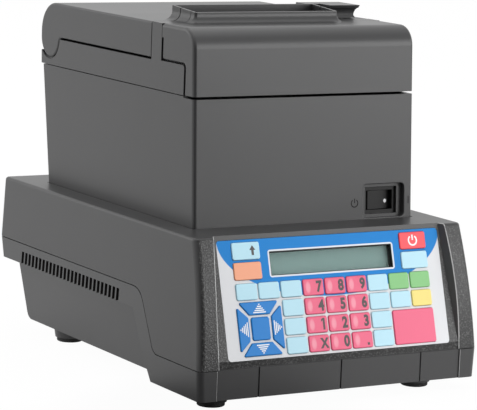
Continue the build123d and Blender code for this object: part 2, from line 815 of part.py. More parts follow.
def printerMidFrame():
    low = mainSeamZ + thinGap
    top = printerTopZ
    seamRear = lidSeamY - lidSeamGap / 2
    side = [(frameFrontY, low), (frameFrontY, frameStepZ), (postFrontY, frameStepZ), (postFrontY, top),
            (seamRear, top), (seamRear, frameSideTopZ), (lobeFrontY, frameSideTopZ),
            (hingeY, frameSideTopZ), (frameRearY, frameRearZ), (frameRearY - frameRearSlant, low)]
    outer = printerBlock(side, 0, [(frameFrontY, frameStepZ, frameStepRound)])
    shell = outer - block(-printerHalf + wall, printerHalf - wall, -reach, frameRearY - wall, 0, top - wall)
    shell = shell + block(-printerHalf + past, printerHalf - past, frameFrontY, frameRearY - 1.5 * past,
                          frameFloorLow, frameFloorHigh)
    front, rear = bucketY - bucketRadius, bucketY + bucketRadius
    bucket = rodX(bucketY, bucketZ, bucketRadius + bucketWall, bucketLeft - bucketWall, bucketRight + bucketWall)
    bucket = bucket & block(-reach, reach, -reach, reach, 0, frameFloorHigh)
    bucket = bucket + block(bucketLeft - bucketWall, bucketRight + bucketWall, front - bucketWall,
                            rear + bucketWall, bucketZ, frameFloorHigh)
    bay = rodX(bucketY, bucketZ, bucketRadius, bucketLeft, bucketRight)
    bay = bay & block(-reach, reach, -reach, reach, 0, frameSideTopZ)
    bay = bay + block(bucketLeft, bucketRight, front, rear, bucketZ, frameSideTopZ)
    shell = shell + bucket - bay
    trough = rodX(hingeY, hingeZ, seatRadius + troughWall, -printerHalf + past, printerHalf - past)
    trough = trough & (block(-reach, reach, hingeY, frameRearY - past, frameFloorLow, frameRearZ)
                       + block(-reach, reach, lobeFrontY, hingeY, frameFloorLow, frameSideTopZ))
    shell = shell + trough - rodX(hingeY, hingeZ, seatRadius, -printerHalf - past, printerHalf + past)
    for sign in (-1, 1):
        x0, x1 = sorted((sign * knuckleInner, sign * knuckleOuter))
        knuckle = rodX(hingeY, hingeZ, knuckleRadius, x0, x1)
        knuckle = knuckle + block(x0, x1, *knuckleWebY, frameFloorHigh, hingeZ)
        shell = shell + knuckle - rodX(hingeY, hingeZ, hingePinRadius, x0 - past, x1 + past)
    shell = shell - block(motorLeft - 0.8, gearRight + 1.2, driveY - motorRadius - 2, platenY + platenRadius + 4,
                          frameFloorLow - past, frameFloorHigh + past)
    shell = shell - block(exitLeft, exitRight, exitFrontY, exitRearY, top - wall - past, top + past)
    return shell + (collar() & between(postFrontY, seamRear))


def hingePins():
    pins = []
    for sign in (-1, 1):
        x0, x1 = sorted((sign * knuckleInner, sign * (printerHalf - pinEnd)))
        pins.append(rodX(hingeY, hingeZ, hingePinRadius, x0, x1))
    return Compound(children=pins)


def collar():
    """Coved ring round the paper exit; its rim rises to the rear."""
    left = exitLeft - collarWall
    right = exitRight + collarWall
    front = exitFrontY - collarWall
    rear = exitRearY + collarWall
    middle = Pos((left + right) / 2, (front + rear) / 2, printerTopZ)
    width = right - left
    depth = rear - front
    skirt = 4 * collarFoot
    base = middle * Pos(0, 0, -past) * extrude(Rectangle(width + skirt, depth + skirt), amount=past)
    base = base + middle * extrude(RectangleRounded(width, depth, collarWall), amount=collarRimRear - printerTopZ)
    foot = base.edges().filter_by(lambda e: abs(e.center().Z - printerTopZ) < 0.01)
    foot = foot.filter_by(lambda e: abs(e.center().X - (left + right) / 2) < width / 2 + past)
    foot = foot.filter_by(lambda e: abs(e.center().Y - (front + rear) / 2) < depth / 2 + past)
    base = fillet(foot, collarFoot)
    spread = 2 * collarFoot - 0.4
    outline = RectangleRounded(width + spread, depth + spread, collarFoot)
    ring = base & (middle * Pos(0, 0, -past) * extrude(outline, amount=skirt))
    slope = (collarRimRear - collarRimFront) / depth
    over = sideProfile([(front - skirt, collarRimFront - skirt * slope),
                        (rear + skirt, collarRimRear + skirt * slope),
                        (rear + skirt, collarRimRear + skirt), (front - skirt, collarRimRear + skirt)])
    ring = ring - acrossX(over, -reach, reach)
    return ring - block(exitLeft, exitRight, exitFrontY, exitRearY, printerTopZ - skirt, printerTopZ + skirt)


def sideRect(y0, y1, z0, z1):
    return Pos((y0 + y1) / 2, (z0 + z1) / 2) * Rectangle(y1 - y0, z1 - z0)


def lidOutline(inset, lobe):
    """Side view of the lid; the lobe goes round the hinge."""
    front = lidSeamY + lidSeamGap / 2 + inset
    top = printerTopZ - inset
    low = lidBottomZ if lobe else mainSeamZ
    outline = sideRect(front, lidArcY, low, top)
    corner = Pos(lidArcY, lidArcZ) * Circle(lidArcRadius - inset)
    outline = outline + (corner & sideRect(lidArcY, reach, lidArcZ, 2 * reach))
    outline = outline + sideRect(lidArcY - past, lidRearY - inset, min(low, hingeZ), lidArcZ)
    if not lobe:
        return outline
    outline = outline + Pos(hingeY, hingeZ) * Circle(lobeRadius)
    joinY = hingeY - (lobeRadius ** 2 - (lidBottomZ - hingeZ) ** 2) ** 0.5
    corner = outline.vertices().sort_by_distance((joinY, lidBottomZ, 0))[0]
    return fillet(corner, lobeJoinRound)


def topCover():
    outer = acrossX(lidOutline(0, True), -printerHalf, printerHalf)
    rims = outer.edges().filter_by(lambda e: abs(abs(e.center().X) - printerHalf) < 0.01)
    rims = rims.filter_by(lambda e: e.center().Z > lidArcZ + past and e.center().Y > lidSeamY + 2 * past)
    outer = fillet(rims, lidRimRound)
    inside = printerHalf - wall
    shell = outer - acrossX(lidOutline(wall, False), -inside, inside)
    shell = shell - block(-inside, inside, hingeY, reach, mainSeamZ, hingeZ - lobeJoinRound)
    front = lidSeamY - past
    shell = shell - block(sidePlateLeft - 0.8, rollerRight + 5.5, front, lidSeamY + wall + 2 * past,
                          mainSeamZ, shelfZ + past)
    shell = shell - block(exitLeft, exitRight, front, exitRearY, shelfZ, printerTopZ + past)
    shell = shell + block(exitLeft, exitRight, exitRearY, exitRearY + collarWall, shelfZ + 1.5 * past,
                          printerTopZ - past)
    for x in (rollerLeft - rollerEndGap - bracketThickness, rollerRight + rollerEndGap + 0.2):
        bracket = block(x, x + bracketThickness, platenY - bracketHalfDepth, platenY + bracketHalfDepth,
                        platenZ, printerTopZ - past)
        bracket = bracket + rodX(platenY, platenZ, bracketRadius, x, x + bracketThickness)
        bore = rodX(platenY, platenZ, platenShaftRadius + shaftClearance, x - past, x + bracketThickness + past)
        shell = shell + bracket - bore
    shell = shell + (collar() & between(lidSeamY + lidSeamGap / 2, reach))
    shell = shell - block(leverLeft + slotInset + past, leverRight - slotInset - past, leverPivotY - 5.2,
                          leverPivotY + 6.0, printerTopZ - wall - past, printerTopZ + past)
    for x0 in (leverLeft + earInset - earThickness, leverRight - earInset):
        ear = block(x0, x0 + earThickness, leverPivotY - earHalf, leverPivotY + earHalf,
                    leverPivotZ - earHalf, printerTopZ - past)
        bore = rodX(leverPivotY, leverPivotZ, leverPivotRadius + shaftClearance, x0 - past, x0 + earThickness + past)
        shell = shell + ear - bore
    for sign in (-1, 1):
        x0, x1 = sorted((sign * (knuckleOuter - past), sign * (printerHalf - pinEnd + 0.1)))
        shell = shell - rodX(hingeY, hingeZ, hingePinRadius + shaftClearance, x0, x1)
    return shell


def frontCover():
    low = mainSeamZ + frontGap / 2
    rearEdge = postFrontY - 0.45
    slotRear = rearEdge - postSlotWidth
    stepZ = frameStepZ + pocketGap
    stepY = frameFrontY - 0.5
    side = [(frontYAt(low), low), (frontYAt(printerTopZ), printerTopZ), (rearEdge, printerTopZ),
            (rearEdge, postSlotTopZ), (slotRear, postSlotTopZ), (slotRear, stepZ), (stepY, stepZ), (stepY, low)]
    corner = (frontYAt(printerTopZ), printerTopZ, frontRoundRadius)
    outer = printerBlock(side, 0, [corner, (stepY, stepZ, frameStepRound + pocketGap)])
    outer = softenFrontUprights(outer)
    inside = [(frontYAt(mainSeamZ) + wall, mainSeamZ), (frontYAt(printerTopZ) + wall, printerTopZ - wall),
              (lidSeamY, printerTopZ - wall), (lidSeamY, mainSeamZ)]
    insideCorner = (frontYAt(printerTopZ) + wall, printerTopZ - wall, frontRoundRadius - wall)
    shell = outer - printerBlock(inside, wall, [insideCorner])
    shell = shell - block(exitLeft, exitRight, exitFrontY, exitRearY, frameStepZ, printerTopZ + past)
    for sign in (-1, 1):
        x0, x1 = sorted((sign * (printerHalf - wall - coverRail), sign * (printerHalf - wall + 0.5)))
        shell = shell + block(x0, x1, frameFrontY + past, slotRear - 1.6 * past, stepZ + 1.7, stepZ + 4.7)
    return shell + (collar() & between(frameFrontY, rearEdge))


def coved(end, sign):
    """One end of the lever's neck, from its foot up to its lip."""
    lipZ = leverTopZ - leverLipThickness
    neckZ = leverFootZ + 1.5
    points = [(end - sign * (leverNeck - 0.8), leverFootZ)]
    for index in range(7):
        turn = radians(13 * index)
        points.append((end - sign * leverNeck * cos(turn), neckZ + (lipZ - neckZ) * sin(turn)))
    points.append((end, leverTopZ))
    return points


def coverReleaseLever():
    rear = leverPivotY + leverStemHalf
    side = coved(leverFrontY, -1) + [(rear, leverTopZ), (rear, leverFootZ + 1.1), (leverPivotY, leverFootZ)]
    across = coved(leverLeft, -1) + coved(leverRight, 1)[::-1]
    lever = acrossX(sideProfile(side), leverLeft, leverRight) & alongY(across, -reach, reach)
    lipZ = leverTopZ - leverLipThickness
    lever = lever + block(leverLeft, leverRight, rear - past, leverRearY, lipZ, leverTopZ)
    wingFront = exitRearY + collarWall + 1.6
    lever = lever + block(leverLeft - leverWing, leverLeft + past, wingFront, leverRearY, lipZ, leverTopZ)
    left, right = leverLeft + slotInset + 1.5, leverRight - slotInset - 1.5
    front = leverPivotY - leverStemHalf
    lever = lever + block(left, right, front, rear - past, leverPivotZ, leverFootZ + past)
    hub = earInset + 0.5
    lever = lever + rodX(leverPivotY, leverPivotZ, leverHubRadius, leverLeft + hub, leverRight - hub)
    axle = earThickness - earInset - 0.3
    lever = lever + rodX(leverPivotY, leverPivotZ, leverPivotRadius, leverLeft - axle, leverRight + axle)
    middle = (leverLeft + leverRight) / 2
    return lever + block(middle - hookWidth / 2, middle + hookWidth / 2, leverPivotY - hookHalfDepth,
                         leverPivotY + hookHalfDepth, hookBottomZ, leverPivotZ)


# ---- Print mechanism

pitchRadii = (gearModule * platenTeeth / 2, gearModule * driveTeeth / 2)
driveY = platenY - sum(pitchRadii) * sin(radians(driveAngle))
driveZ = platenZ - sum(pitchRadii) * cos(radians(driveAngle))


def gearOutline(teeth, start):
    """Trapezoid teeth with play; start is the angle of one tooth's middle."""
    pitchRadius = gearModule * teeth / 2
    tip = pitchRadius + 0.8 * gearModule
    root = pitchRadius - 1.2 * gearModule
    step = 360 / teeth
    points = []
    for index in range(teeth):
        middle = start + index * step
        for radius, share in ((root, -0.31), (tip, -0.12), (tip, 0.12), (root, 0.31)):
            angle = radians(middle + share * step)
            points.append((radius * cos(angle), radius * sin(angle)))
    return make_face(Polyline(*points, close=True))


def placedGear(teeth, start, y, z):
    return Plane.YZ.offset(gearLeft) * Pos(y, z) * extrude(gearOutline(teeth, start), amount=gearRight - gearLeft)


def platenRoller():
    sleeve = rodX(platenY, platenZ, platenRadius, rollerLeft, rollerRight)
    end = rollerRight + rollerEndGap + bracketThickness + 1.5
    return sleeve + rodX(platenY, platenZ, platenShaftRadius, gearLeft, end)


def platenGear():
    gear = placedGear(platenTeeth, 270 - driveAngle, platenY, platenZ)
    bore = platenShaftRadius + shaftClearance / 2
    return gear - rodX(platenY, platenZ, bore, gearLeft - past, gearRight + past)


def driveGear():
    gear = placedGear(driveTeeth, 90 - driveAngle + 180 / driveTeeth, driveY, driveZ)
    return gear + rodX(driveY, driveZ, driveShaftRadius, motorRight - 4 * past, gearRight + past / 2)


def feedMotor():
    body = rodX(driveY, driveZ, motorRadius, motorLeft, motorRight)
    bore = driveShaftRadius + shaftClearance
    return body - rodX(driveY, driveZ, bore, motorRight - 4.5 * past, motorRight + past)


def mechanismFrame():
    low = frameFloorHigh + 0.2
    left = sidePlateLeft
    right = sidePlateRight + sheetThickness
    thick = sheetThickness
    sheet = block(left, left + thick, mechFrontY, mechRearY, low, shelfZ)
    sheet = sheet + block(left, left + thick, mechStepY + 2.5, mechRearY, driveZ - motorRadius, low)
    sheet = sheet - rodX(driveY, driveZ, driveShaftRadius + 0.9, left - past, left + 2 * past)
    sheet = sheet + block(sidePlateRight, right, mechFrontY, headRearY + 2, low, shelfZ)
    sheet = sheet + block(left, right, mechFrontY, mechStepY, low, low + thick)
    sheet = sheet + block(rollerLeft - past, right, mechStepY, headRearY - thick, low, low + thick)
    sheet = sheet + block(rollerLeft, rollerRight, headRearY - thick, headRearY, low, headHighZ + 0.5)
    sheet = sheet + block(left, right, mechFrontY, headRearY - 1.5, shelfZ, shelfZ + thick)
    rail = shelfZ + thick
    for x in (rollerLeft - railGap - railWidth, rollerRight + railGap):
        sheet = sheet + block(x, x + railWidth, mechFrontY + 6, headRearY - 4, rail, rail + railHeight)
    return sheet


def printHead():
    left, right = rollerLeft + past, rollerRight - past
    sink = block(left, right, headRearY, headFaceY - ceramicThickness, headLowZ, headHighZ)
    for index in range(finCount):
        z = headLowZ + 1.2 + index * finPitch
        sink = sink - block(rollerLeft, rollerRight, headRearY + 1.5, headRearY + 4.0, z, z + finGap)
    return sink + block(left, right, headFaceY - ceramicThickness, headFaceY, headLowZ + 1.2, headHighZ - past)


def cutterBlade():
    low = shelfZ + sheetThickness + bladeLift
    high = low + bladeThickness
    sides = [(bladeFrontY, low), (bladeEdgeY - bladeBevel, low), (bladeEdgeY, high), (bladeFrontY, high)]
    left, right = rollerLeft + 0.2, rollerRight - 0.2
    blade = acrossX(sideProfile(sides), left, right)
    for share in (1 / 6, 1 / 2, 5 / 6):
        x = left + (right - left) * share
        blade = blade - rodZ(x, bladeFrontY + 6, 2.2, low - past, high + past)
    return blade


# ---- Power switch

pivot = switchPlane.from_local_coords((0, 0, rockerPivotW))
rockerPlane = Plane(origin=pivot, x_dir=(1, 0, 0), z_dir=-switchPlane.y_dir)


def alongSlope(outline, reachUp):
    """Outline square to the rocker's axis, carried both ways."""
    return extrude(rockerPlane * outline, amount=reachUp, both=True)


def powerSwitchHousing():
    body = switchSlab(RectangleRounded(bezelWidth, bezelHeight, plateCorner / 2), bezelSeat, bezelFace)
    body = body + switchSlab(Rectangle(bodyWidth - 0.2, bodyHeight - 0.2), bezelFace - bodyDepth, bezelSeat)
    pocketFloor = rockerPivotW - rockerBelow - 2.0
    body = body - switchSlab(Rectangle(pocketWidth, pocketHeight), pocketFloor, 0)
    thick, width, length = terminalSize
    low = bezelFace - bodyDepth
    for x in (-terminalPitch, 0, terminalPitch):
        body = body + switchSlab(Pos(x, 0) * Rectangle(thick, width), low - length, low)
    return body - alongSlope(Circle(rockerAxleRadius + shaftClearance), rockerAxleHalf + 0.1)


def powerSwitchRocker():
    height = rockerTop + rockerBelow
    outline = Pos(0, rockerTop - height / 2) * Rectangle(2 * rockerRadius, height)
    outline = Rot(0, 0, -rockerTilt) * (outline & Circle(rockerRadius))
    return alongSlope(outline, rockerHalfHeight) + alongSlope(Circle(rockerAxleRadius), rockerAxleHalf)


pieces = {
    "base_lower_case": baseLowerCase, "base_upper_case": baseUpperCase, "rubber_feet": rubberFeet,
    "case_screws": caseScrews, "keypad_faceplate": keypadFaceplate,
    "keypad_circuit_board": keypadCircuitBoard, "lcd_module": lcdModule, "lcd_window": lcdWindow,
    "main_board": mainBoard, "printer_lower_case": printerLowerCase,
    "printer_mid_frame": printerMidFrame, "hinge_pins": hingePins, "top_cover": topCover,
    "front_cover": frontCover, "cover_release_lever": coverReleaseLever,
    "platen_roller": platenRoller, "platen_gear": platenGear, "drive_gear": driveGear,
    "feed_motor": feedMotor, "mechanism_frame": mechanismFrame, "print_head": printHead,
    "cutter_blade": cutterBlade, "power_switch_housing": powerSwitchHousing,
    "power_switch_rocker": powerSwitchRocker,
}


def main():
    for name, makePiece in pieces.items():
        save(makePiece(), name)
    for name, outline in keys.items():
        save(keyCap(outline), name)


main()
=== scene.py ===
import math
import bpy
from mathutils import Matrix, Vector


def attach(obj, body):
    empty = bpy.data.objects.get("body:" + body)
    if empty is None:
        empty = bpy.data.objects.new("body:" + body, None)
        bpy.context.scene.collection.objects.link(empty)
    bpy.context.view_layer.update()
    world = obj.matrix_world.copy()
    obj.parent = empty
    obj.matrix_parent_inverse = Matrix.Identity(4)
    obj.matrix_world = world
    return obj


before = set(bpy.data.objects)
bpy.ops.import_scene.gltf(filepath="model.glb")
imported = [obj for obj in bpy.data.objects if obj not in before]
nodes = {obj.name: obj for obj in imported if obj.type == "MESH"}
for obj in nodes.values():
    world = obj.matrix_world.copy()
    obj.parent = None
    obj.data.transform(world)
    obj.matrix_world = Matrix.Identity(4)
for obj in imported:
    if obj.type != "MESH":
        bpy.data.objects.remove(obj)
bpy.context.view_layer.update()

mm = 0.001


def finishMesh(name, mesh, body, material):
    piece = bpy.data.objects.new(name, mesh)
    bpy.context.scene.collection.objects.link(piece)
    if not mesh.materials:
        mesh.materials.append(material)
    mesh.shade_flat()
    if body:
        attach(piece, body)
    return piece


def addNode(tree, kind, **settings):
    node = tree.nodes.new(kind)
    inputs = settings.pop("inputs", {})
    for key, value in settings.items():
        setattr(node, key, value)
    for key, value in inputs.items():
        node.inputs[key].default_value = value
    return node


# A value may be another node's output, a number or a colour
def feed(tree, value, socket):
    if isinstance(value, bpy.types.NodeSocket):
        tree.links.new(value, socket)
    elif socket.type == "RGBA":
        socket.default_value = (*value, 1)
    else:
        socket.default_value = value


def maths(tree, operation, *values):
    node = addNode(tree, "ShaderNodeMath", operation=operation)
    for index, value in enumerate(values):
        feed(tree, value, node.inputs[index])
    return node.outputs[0]


def squareSum(tree, first, second):
    return maths(tree, "ADD", maths(tree, "MULTIPLY", first, first), maths(tree, "MULTIPLY", second, second))


def ramp(tree, value, low, high, start=0.0, end=1.0, kind="LINEAR"):
    node = addNode(tree, "ShaderNodeMapRange", interpolation_type=kind,
                   inputs={"From Min": low, "From Max": high, "To Min": start, "To Max": end})
    feed(tree, value, node.inputs["Value"])
    return node.outputs["Result"]


# 1 between two places given in millimetres, else 0
def within(tree, value, low, high):
    return maths(tree, "MULTIPLY", maths(tree, "GREATER_THAN", value, low * mm),
                 maths(tree, "LESS_THAN", value, high * mm))


def colourMix(tree, factor, first, second):
    mix = addNode(tree, "ShaderNodeMix", data_type="RGBA")
    feed(tree, factor, mix.inputs["Factor"])
    feed(tree, first, mix.inputs["A"])
    feed(tree, second, mix.inputs["B"])
    return mix.outputs["Result"]


# Place on the object, or the way a face looks with output="Normal"
def objectXYZ(tree, output="Object"):
    split = addNode(tree, "ShaderNodeSeparateXYZ")
    feed(tree, addNode(tree, "ShaderNodeTexCoord").outputs[output], split.inputs[0])
    return split.outputs


def objectNoise(tree, scale, detail, roughness=0.5):
    node = addNode(tree, "ShaderNodeTexNoise", inputs={"Detail": detail, "Roughness": roughness})
    feed(tree, addNode(tree, "ShaderNodeTexCoord").outputs["Object"], node.inputs["Vector"])
    feed(tree, scale, node.inputs["Scale"])
    return node.outputs["Fac"]


def shaderGroup(name, inputs, outputs):
    group = bpy.data.node_groups.new(name, "ShaderNodeTree")
    for label, kind, default in inputs:
        item = group.interface.new_socket(name=label, in_out="INPUT", socket_type=kind)
        item.default_value = default
    for label, kind in outputs:
        group.interface.new_socket(name=label, in_out="OUTPUT", socket_type=kind)
    return group, addNode(group, "NodeGroupInput").outputs, addNode(group, "NodeGroupOutput").inputs


def useGroup(tree, group, **values):
    node = addNode(tree, "ShaderNodeGroup", node_tree=group)
    for key, value in values.items():
        feed(tree, value, node.inputs[key])
    return node.outputs


# Spark-eroded or polished grain: a height, and a roughness that changes a little
def makeGrainGroup():
    group, given, out = shaderGroup(
        "mouldedGrain",
        [("Size", "NodeSocketFloat", 900.0), ("Roughness", "NodeSocketFloat", 0.5),
         ("Spread", "NodeSocketFloat", 0.08)],
        [("Height", "NodeSocketFloat"), ("Roughness", "NodeSocketFloat")])
    broad = {"scale": 22.0, "detail": 4.0}
    fine = {"detail": 3.0, "roughness": 0.6}
    drift = maths(group, "SUBTRACT", objectNoise(group, **broad), 0.5)
    drift = maths(group, "MULTIPLY", drift, given["Spread"])
    feed(group, maths(group, "ADD", given["Roughness"], drift), out["Roughness"])
    feed(group, objectNoise(group, given["Size"], **fine), out["Height"])
    return group


# Handling marks: the colour drifts a little over the surface
def makeToneGroup():
    group, given, out = shaderGroup(
        "handledTone",
        [("Colour", "NodeSocketColor", (0.1, 0.1, 0.1, 1)), ("Amount", "NodeSocketFloat", 0.1),
         ("Size", "NodeSocketFloat", 30.0)],
        [("Colour", "NodeSocketColor")])
    marks = {"detail": 5.0, "roughness": 0.55}
    drift = maths(group, "SUBTRACT", objectNoise(group, given["Size"], **marks), 0.5)
    drift = maths(group, "MULTIPLY", drift, given["Amount"])
    scale = addNode(group, "ShaderNodeVectorMath", operation="SCALE")
    feed(group, given["Colour"], scale.inputs[0])
    feed(group, maths(group, "ADD", drift, 1.0), scale.inputs["Scale"])
    feed(group, scale.outputs[0], out["Colour"])
    return group


grainGroup = makeGrainGroup()
toneGroup = makeToneGroup()


def newMaterial(name, colour, roughness, **sockets):
    material = bpy.data.materials.new(name)
    material.use_nodes = True
    shader = material.node_tree.nodes["Principled BSDF"]
    feed(material.node_tree, colour, shader.inputs["Base Color"])
    shader.inputs["Roughness"].default_value = roughness
    for key, value in sockets.items():
        shader.inputs[key.replace("_", " ")].default_value = value
    return material, material.node_tree, shader


def giveTone(tree, shader, colour, amount, **settings):
    tone = useGroup(tree, toneGroup, Colour=colour, Amount=amount, **settings)
    feed(tree, tone["Colour"], shader.inputs["Base Color"])


# Grain in the roughness, and in the bump where a strength is given
def giveGrain(tree, shader, size, spread, strength=0.0, height=0.0):
    roughness = shader.inputs["Roughness"]
    grain = useGroup(tree, grainGroup, Size=size, Roughness=roughness.default_value, Spread=spread)
    feed(tree, grain["Roughness"], roughness)
    if strength:
        bump = addNode(tree, "ShaderNodeBump", inputs={"Strength": strength, "Distance": height * mm})
        feed(tree, grain["Height"], bump.inputs["Height"])
        feed(tree, bump.outputs["Normal"], shader.inputs["Normal"])


def alreadyAt(shader, label):
    return shader.inputs[label].links[0].from_socket


# A colour laid over what the surface has so far
def overlay(tree, shader, factor, colour):
    feed(tree, colourMix(tree, factor, alreadyAt(shader, "Base Color"), colour), shader.inputs["Base Color"])


def mouldedMaterial(name, colour, roughness, size, height, amount=0.08, **sockets):
    material, tree, shader = newMaterial(name, colour, roughness, **sockets)
    giveTone(tree, shader, colour, amount)
    giveGrain(tree, shader, size, spread=0.08, strength=0.5, height=height)
    return material


# The leaning keypad panel: u across, v up it, w out of it, all in millimetres
panel = {"bottomY": -126.7, "bottomZ": 28.1, "lean": math.radians(16.4)}
panelUp = Vector((0, math.sin(panel["lean"]), math.cos(panel["lean"])))
panelOut = Vector((0, -math.cos(panel["lean"]), math.sin(panel["lean"])))
panelOrigin = Vector((0, panel["bottomY"], panel["bottomZ"]))
acrossX = Vector((1, 0, 0))

keyGrid = {"pitchU": 14.2, "pitchV": 10.4, "firstV": 37.1, "rise": 0.7, "proud": 0.05}
display = {"centre": (0.25, 51.7), "opening": (40.02, 6.67), "line": (41.05, 7.6), "field": (39.4, 6.05)}


def onPanel(u, v, w=0.0):
    return (panelOrigin + acrossX * u + panelUp * v + panelOut * w) * mm


def makePanelGroup():
    group, given, out = shaderGroup("panelPlace", [], [("U", "NodeSocketFloat"), ("V", "NodeSocketFloat")])
    at = objectXYZ(group)
    depth = maths(group, "MULTIPLY_ADD", at["Y"], 1 / mm, -panel["bottomY"])
    rise = maths(group, "MULTIPLY_ADD", at["Z"], 1 / mm, -panel["bottomZ"])
    feed(group, maths(group, "MULTIPLY", at["X"], 1 / mm), out["U"])
    feed(group, maths(group, "ADD", maths(group, "MULTIPLY", depth, panelUp.y),
                      maths(group, "MULTIPLY", rise, panelUp.z)), out["V"])
    return group


panelGroup = makePanelGroup()


# How far a place is from the middle of its cell in a row of cells, in millimetres
def cellOffset(tree, value, middle, pitch):
    cells = maths(tree, "ADD", maths(tree, "DIVIDE", maths(tree, "SUBTRACT", value, middle), pitch), 0.5)
    return maths(tree, "MULTIPLY", maths(tree, "SUBTRACT", maths(tree, "FRACT", cells), 0.5), pitch)


def ellipseReach(tree, u, v, centre, half):
    return squareSum(tree, maths(tree, "DIVIDE", maths(tree, "SUBTRACT", u, centre[0]), half[0]),
                     maths(tree, "DIVIDE", maths(tree, "SUBTRACT", v, centre[1]), half[1]))


def awayFrom(tree, value, centre):
    return maths(tree, "ABSOLUTE", maths(tree, "SUBTRACT", value, centre))


# Painted shade inside the vent slots: their walls, between the band's face and the wall behind it, are marked to be
# painted near black
def makeSlotShadeGroup():
    group, given, out = shaderGroup("ventSlotShade", [], [("Mask", "NodeSocketFloat")])
    slots = {"X": (76.0, 90.8), "Y": (-32.0, 96.0), "Z": (42.7, 52.5), "facingAlong": 0.7}
    at, facing = objectXYZ(group), objectXYZ(group, "Normal")
    mask = maths(group, "GREATER_THAN", maths(group, "ABSOLUTE", facing["Y"]), slots["facingAlong"])
    for axis, value in (("X", maths(group, "ABSOLUTE", at["X"])), ("Y", at["Y"]), ("Z", at["Z"])):
        mask = maths(group, "MULTIPLY", mask, within(group, value, *slots[axis]))
    feed(group, mask, out["Mask"])
    return group


# Painted edge highlight: a pale colour on the rounded inner edges of the two cheeks at the front, standing in for
# light caught on them
def makeEdgeHighlightGroup():
    group, given, out = shaderGroup("paintedEdgeHighlight", [], [("Mask", "NodeSocketFloat")])
    edge = {"y": (-200.0, -103.0), "x": (70.0, 83.0), "rise": (0.12, 0.30), "fall": (0.84, 0.66)}
    at, facing = objectXYZ(group), objectXYZ(group, "Normal")
    outward = maths(group, "MULTIPLY", maths(group, "SIGN", at["X"]), facing["X"])
    inward = maths(group, "MULTIPLY", outward, -1.0)
    mask = maths(group, "MULTIPLY", ramp(group, inward, *edge["rise"]), ramp(group, inward, *edge["fall"]))
    mask = maths(group, "MULTIPLY", mask, within(group, at["Y"], *edge["y"]))
    mask = maths(group, "MULTIPLY", mask, within(group, maths(group, "ABSOLUTE", at["X"]), *edge["x"]))
    feed(group, mask, out["Mask"])
    return group


slotShadeGroup = makeSlotShadeGroup()
edgeHighlightGroup = makeEdgeHighlightGroup()


def paintEdgeHighlight(tree, shader, share):
    # The pale colour painted on the cheek edges as a highlight
    highlightPale = (0.55, 0.55, 0.55)
    mask = useGroup(tree, edgeHighlightGroup)["Mask"]
    overlay(tree, shader, maths(tree, "MULTIPLY", mask, share), highlightPale)


def paintSlotShade(tree, shader):
    # The slot walls are painted near black for the shade inside them, and made fully rough
    dark = (0.002, 0.002, 0.002)
    mask = useGroup(tree, slotShadeGroup)["Mask"]
    overlay(tree, shader, mask, dark)
    feed(tree, maths(tree, "MAXIMUM", alreadyAt(shader, "Roughness"), mask), shader.inputs["Roughness"])


# The console's front is spark-eroded: pits in the bump, a near-black colour over the whole eroded front, and painted
# glints, pale specks that stand in for light caught between the pits
def coarsenFront(tree, shader):
    coarse = {"front": (-107.5, -111.5), "facing": (-0.75, -0.93), "scale": 1150.0, "detail": 1.5,
              "strength": 0.8, "deep": 0.20, "ground": (0.005, 0.005, 0.005), "groundShare": 0.9,
              "glint": (0.14, 0.14, 0.14), "glintFrom": (0.50, 0.72), "glintShare": 0.55}
    nearFront = ramp(tree, objectXYZ(tree)["Y"], coarse["front"][0] * mm, coarse["front"][1] * mm)
    frontal = ramp(tree, objectXYZ(tree, "Normal")["Y"], *coarse["facing"])
    mask = maths(tree, "MULTIPLY", nearFront, frontal)
    pits = objectNoise(tree, coarse["scale"], coarse["detail"])
    bump = addNode(tree, "ShaderNodeBump", inputs={"Distance": coarse["deep"] * mm})
    feed(tree, maths(tree, "MULTIPLY", mask, coarse["strength"]), bump.inputs["Strength"])
    feed(tree, pits, bump.inputs["Height"])
    feed(tree, alreadyAt(shader, "Normal"), bump.inputs["Normal"])
    feed(tree, bump.outputs["Normal"], shader.inputs["Normal"])
    overlay(tree, shader, maths(tree, "MULTIPLY", mask, coarse["groundShare"]), coarse["ground"])
    # Painted glints: pale specks where the pits' noise is high
    paintedGlint = ramp(tree, pits, *coarse["glintFrom"], end=coarse["glintShare"])
    overlay(tree, shader, maths(tree, "MULTIPLY", paintedGlint, mask), coarse["glint"])


def makeCasing(name, colour, roughness, rubbed, coarse=False, slotted=False, **sockets):
    material, tree, shader = newMaterial(name, colour, roughness, IOR=1.5, **sockets)
    giveTone(tree, shader, colour, amount=0.10)
    giveGrain(tree, shader, size=1500.0, spread=0.06, strength=0.35, height=0.02)
    if slotted:
        paintSlotShade(tree, shader)
    if coarse:
        coarsenFront(tree, shader)
    paintEdgeHighlight(tree, shader, rubbed)
    return material


# Casing plastics: the frame has the coarse front, the base has the vent slots
# rubbed: how much of the painted edge highlight each casing gets
casings = {
    "casingFrame": {"colour": (0.037, 0.037, 0.038), "roughness": 0.36, "rubbed": 0.9, "coarse": True,
                    "Specular_IOR_Level": 0.42},
    "casingBase": {"colour": (0.037, 0.037, 0.038), "roughness": 0.36, "rubbed": 0.6, "slotted": True},
    "casingPrinter": {"colour": (0.030, 0.030, 0.031), "roughness": 0.35, "rubbed": 0.6},
}

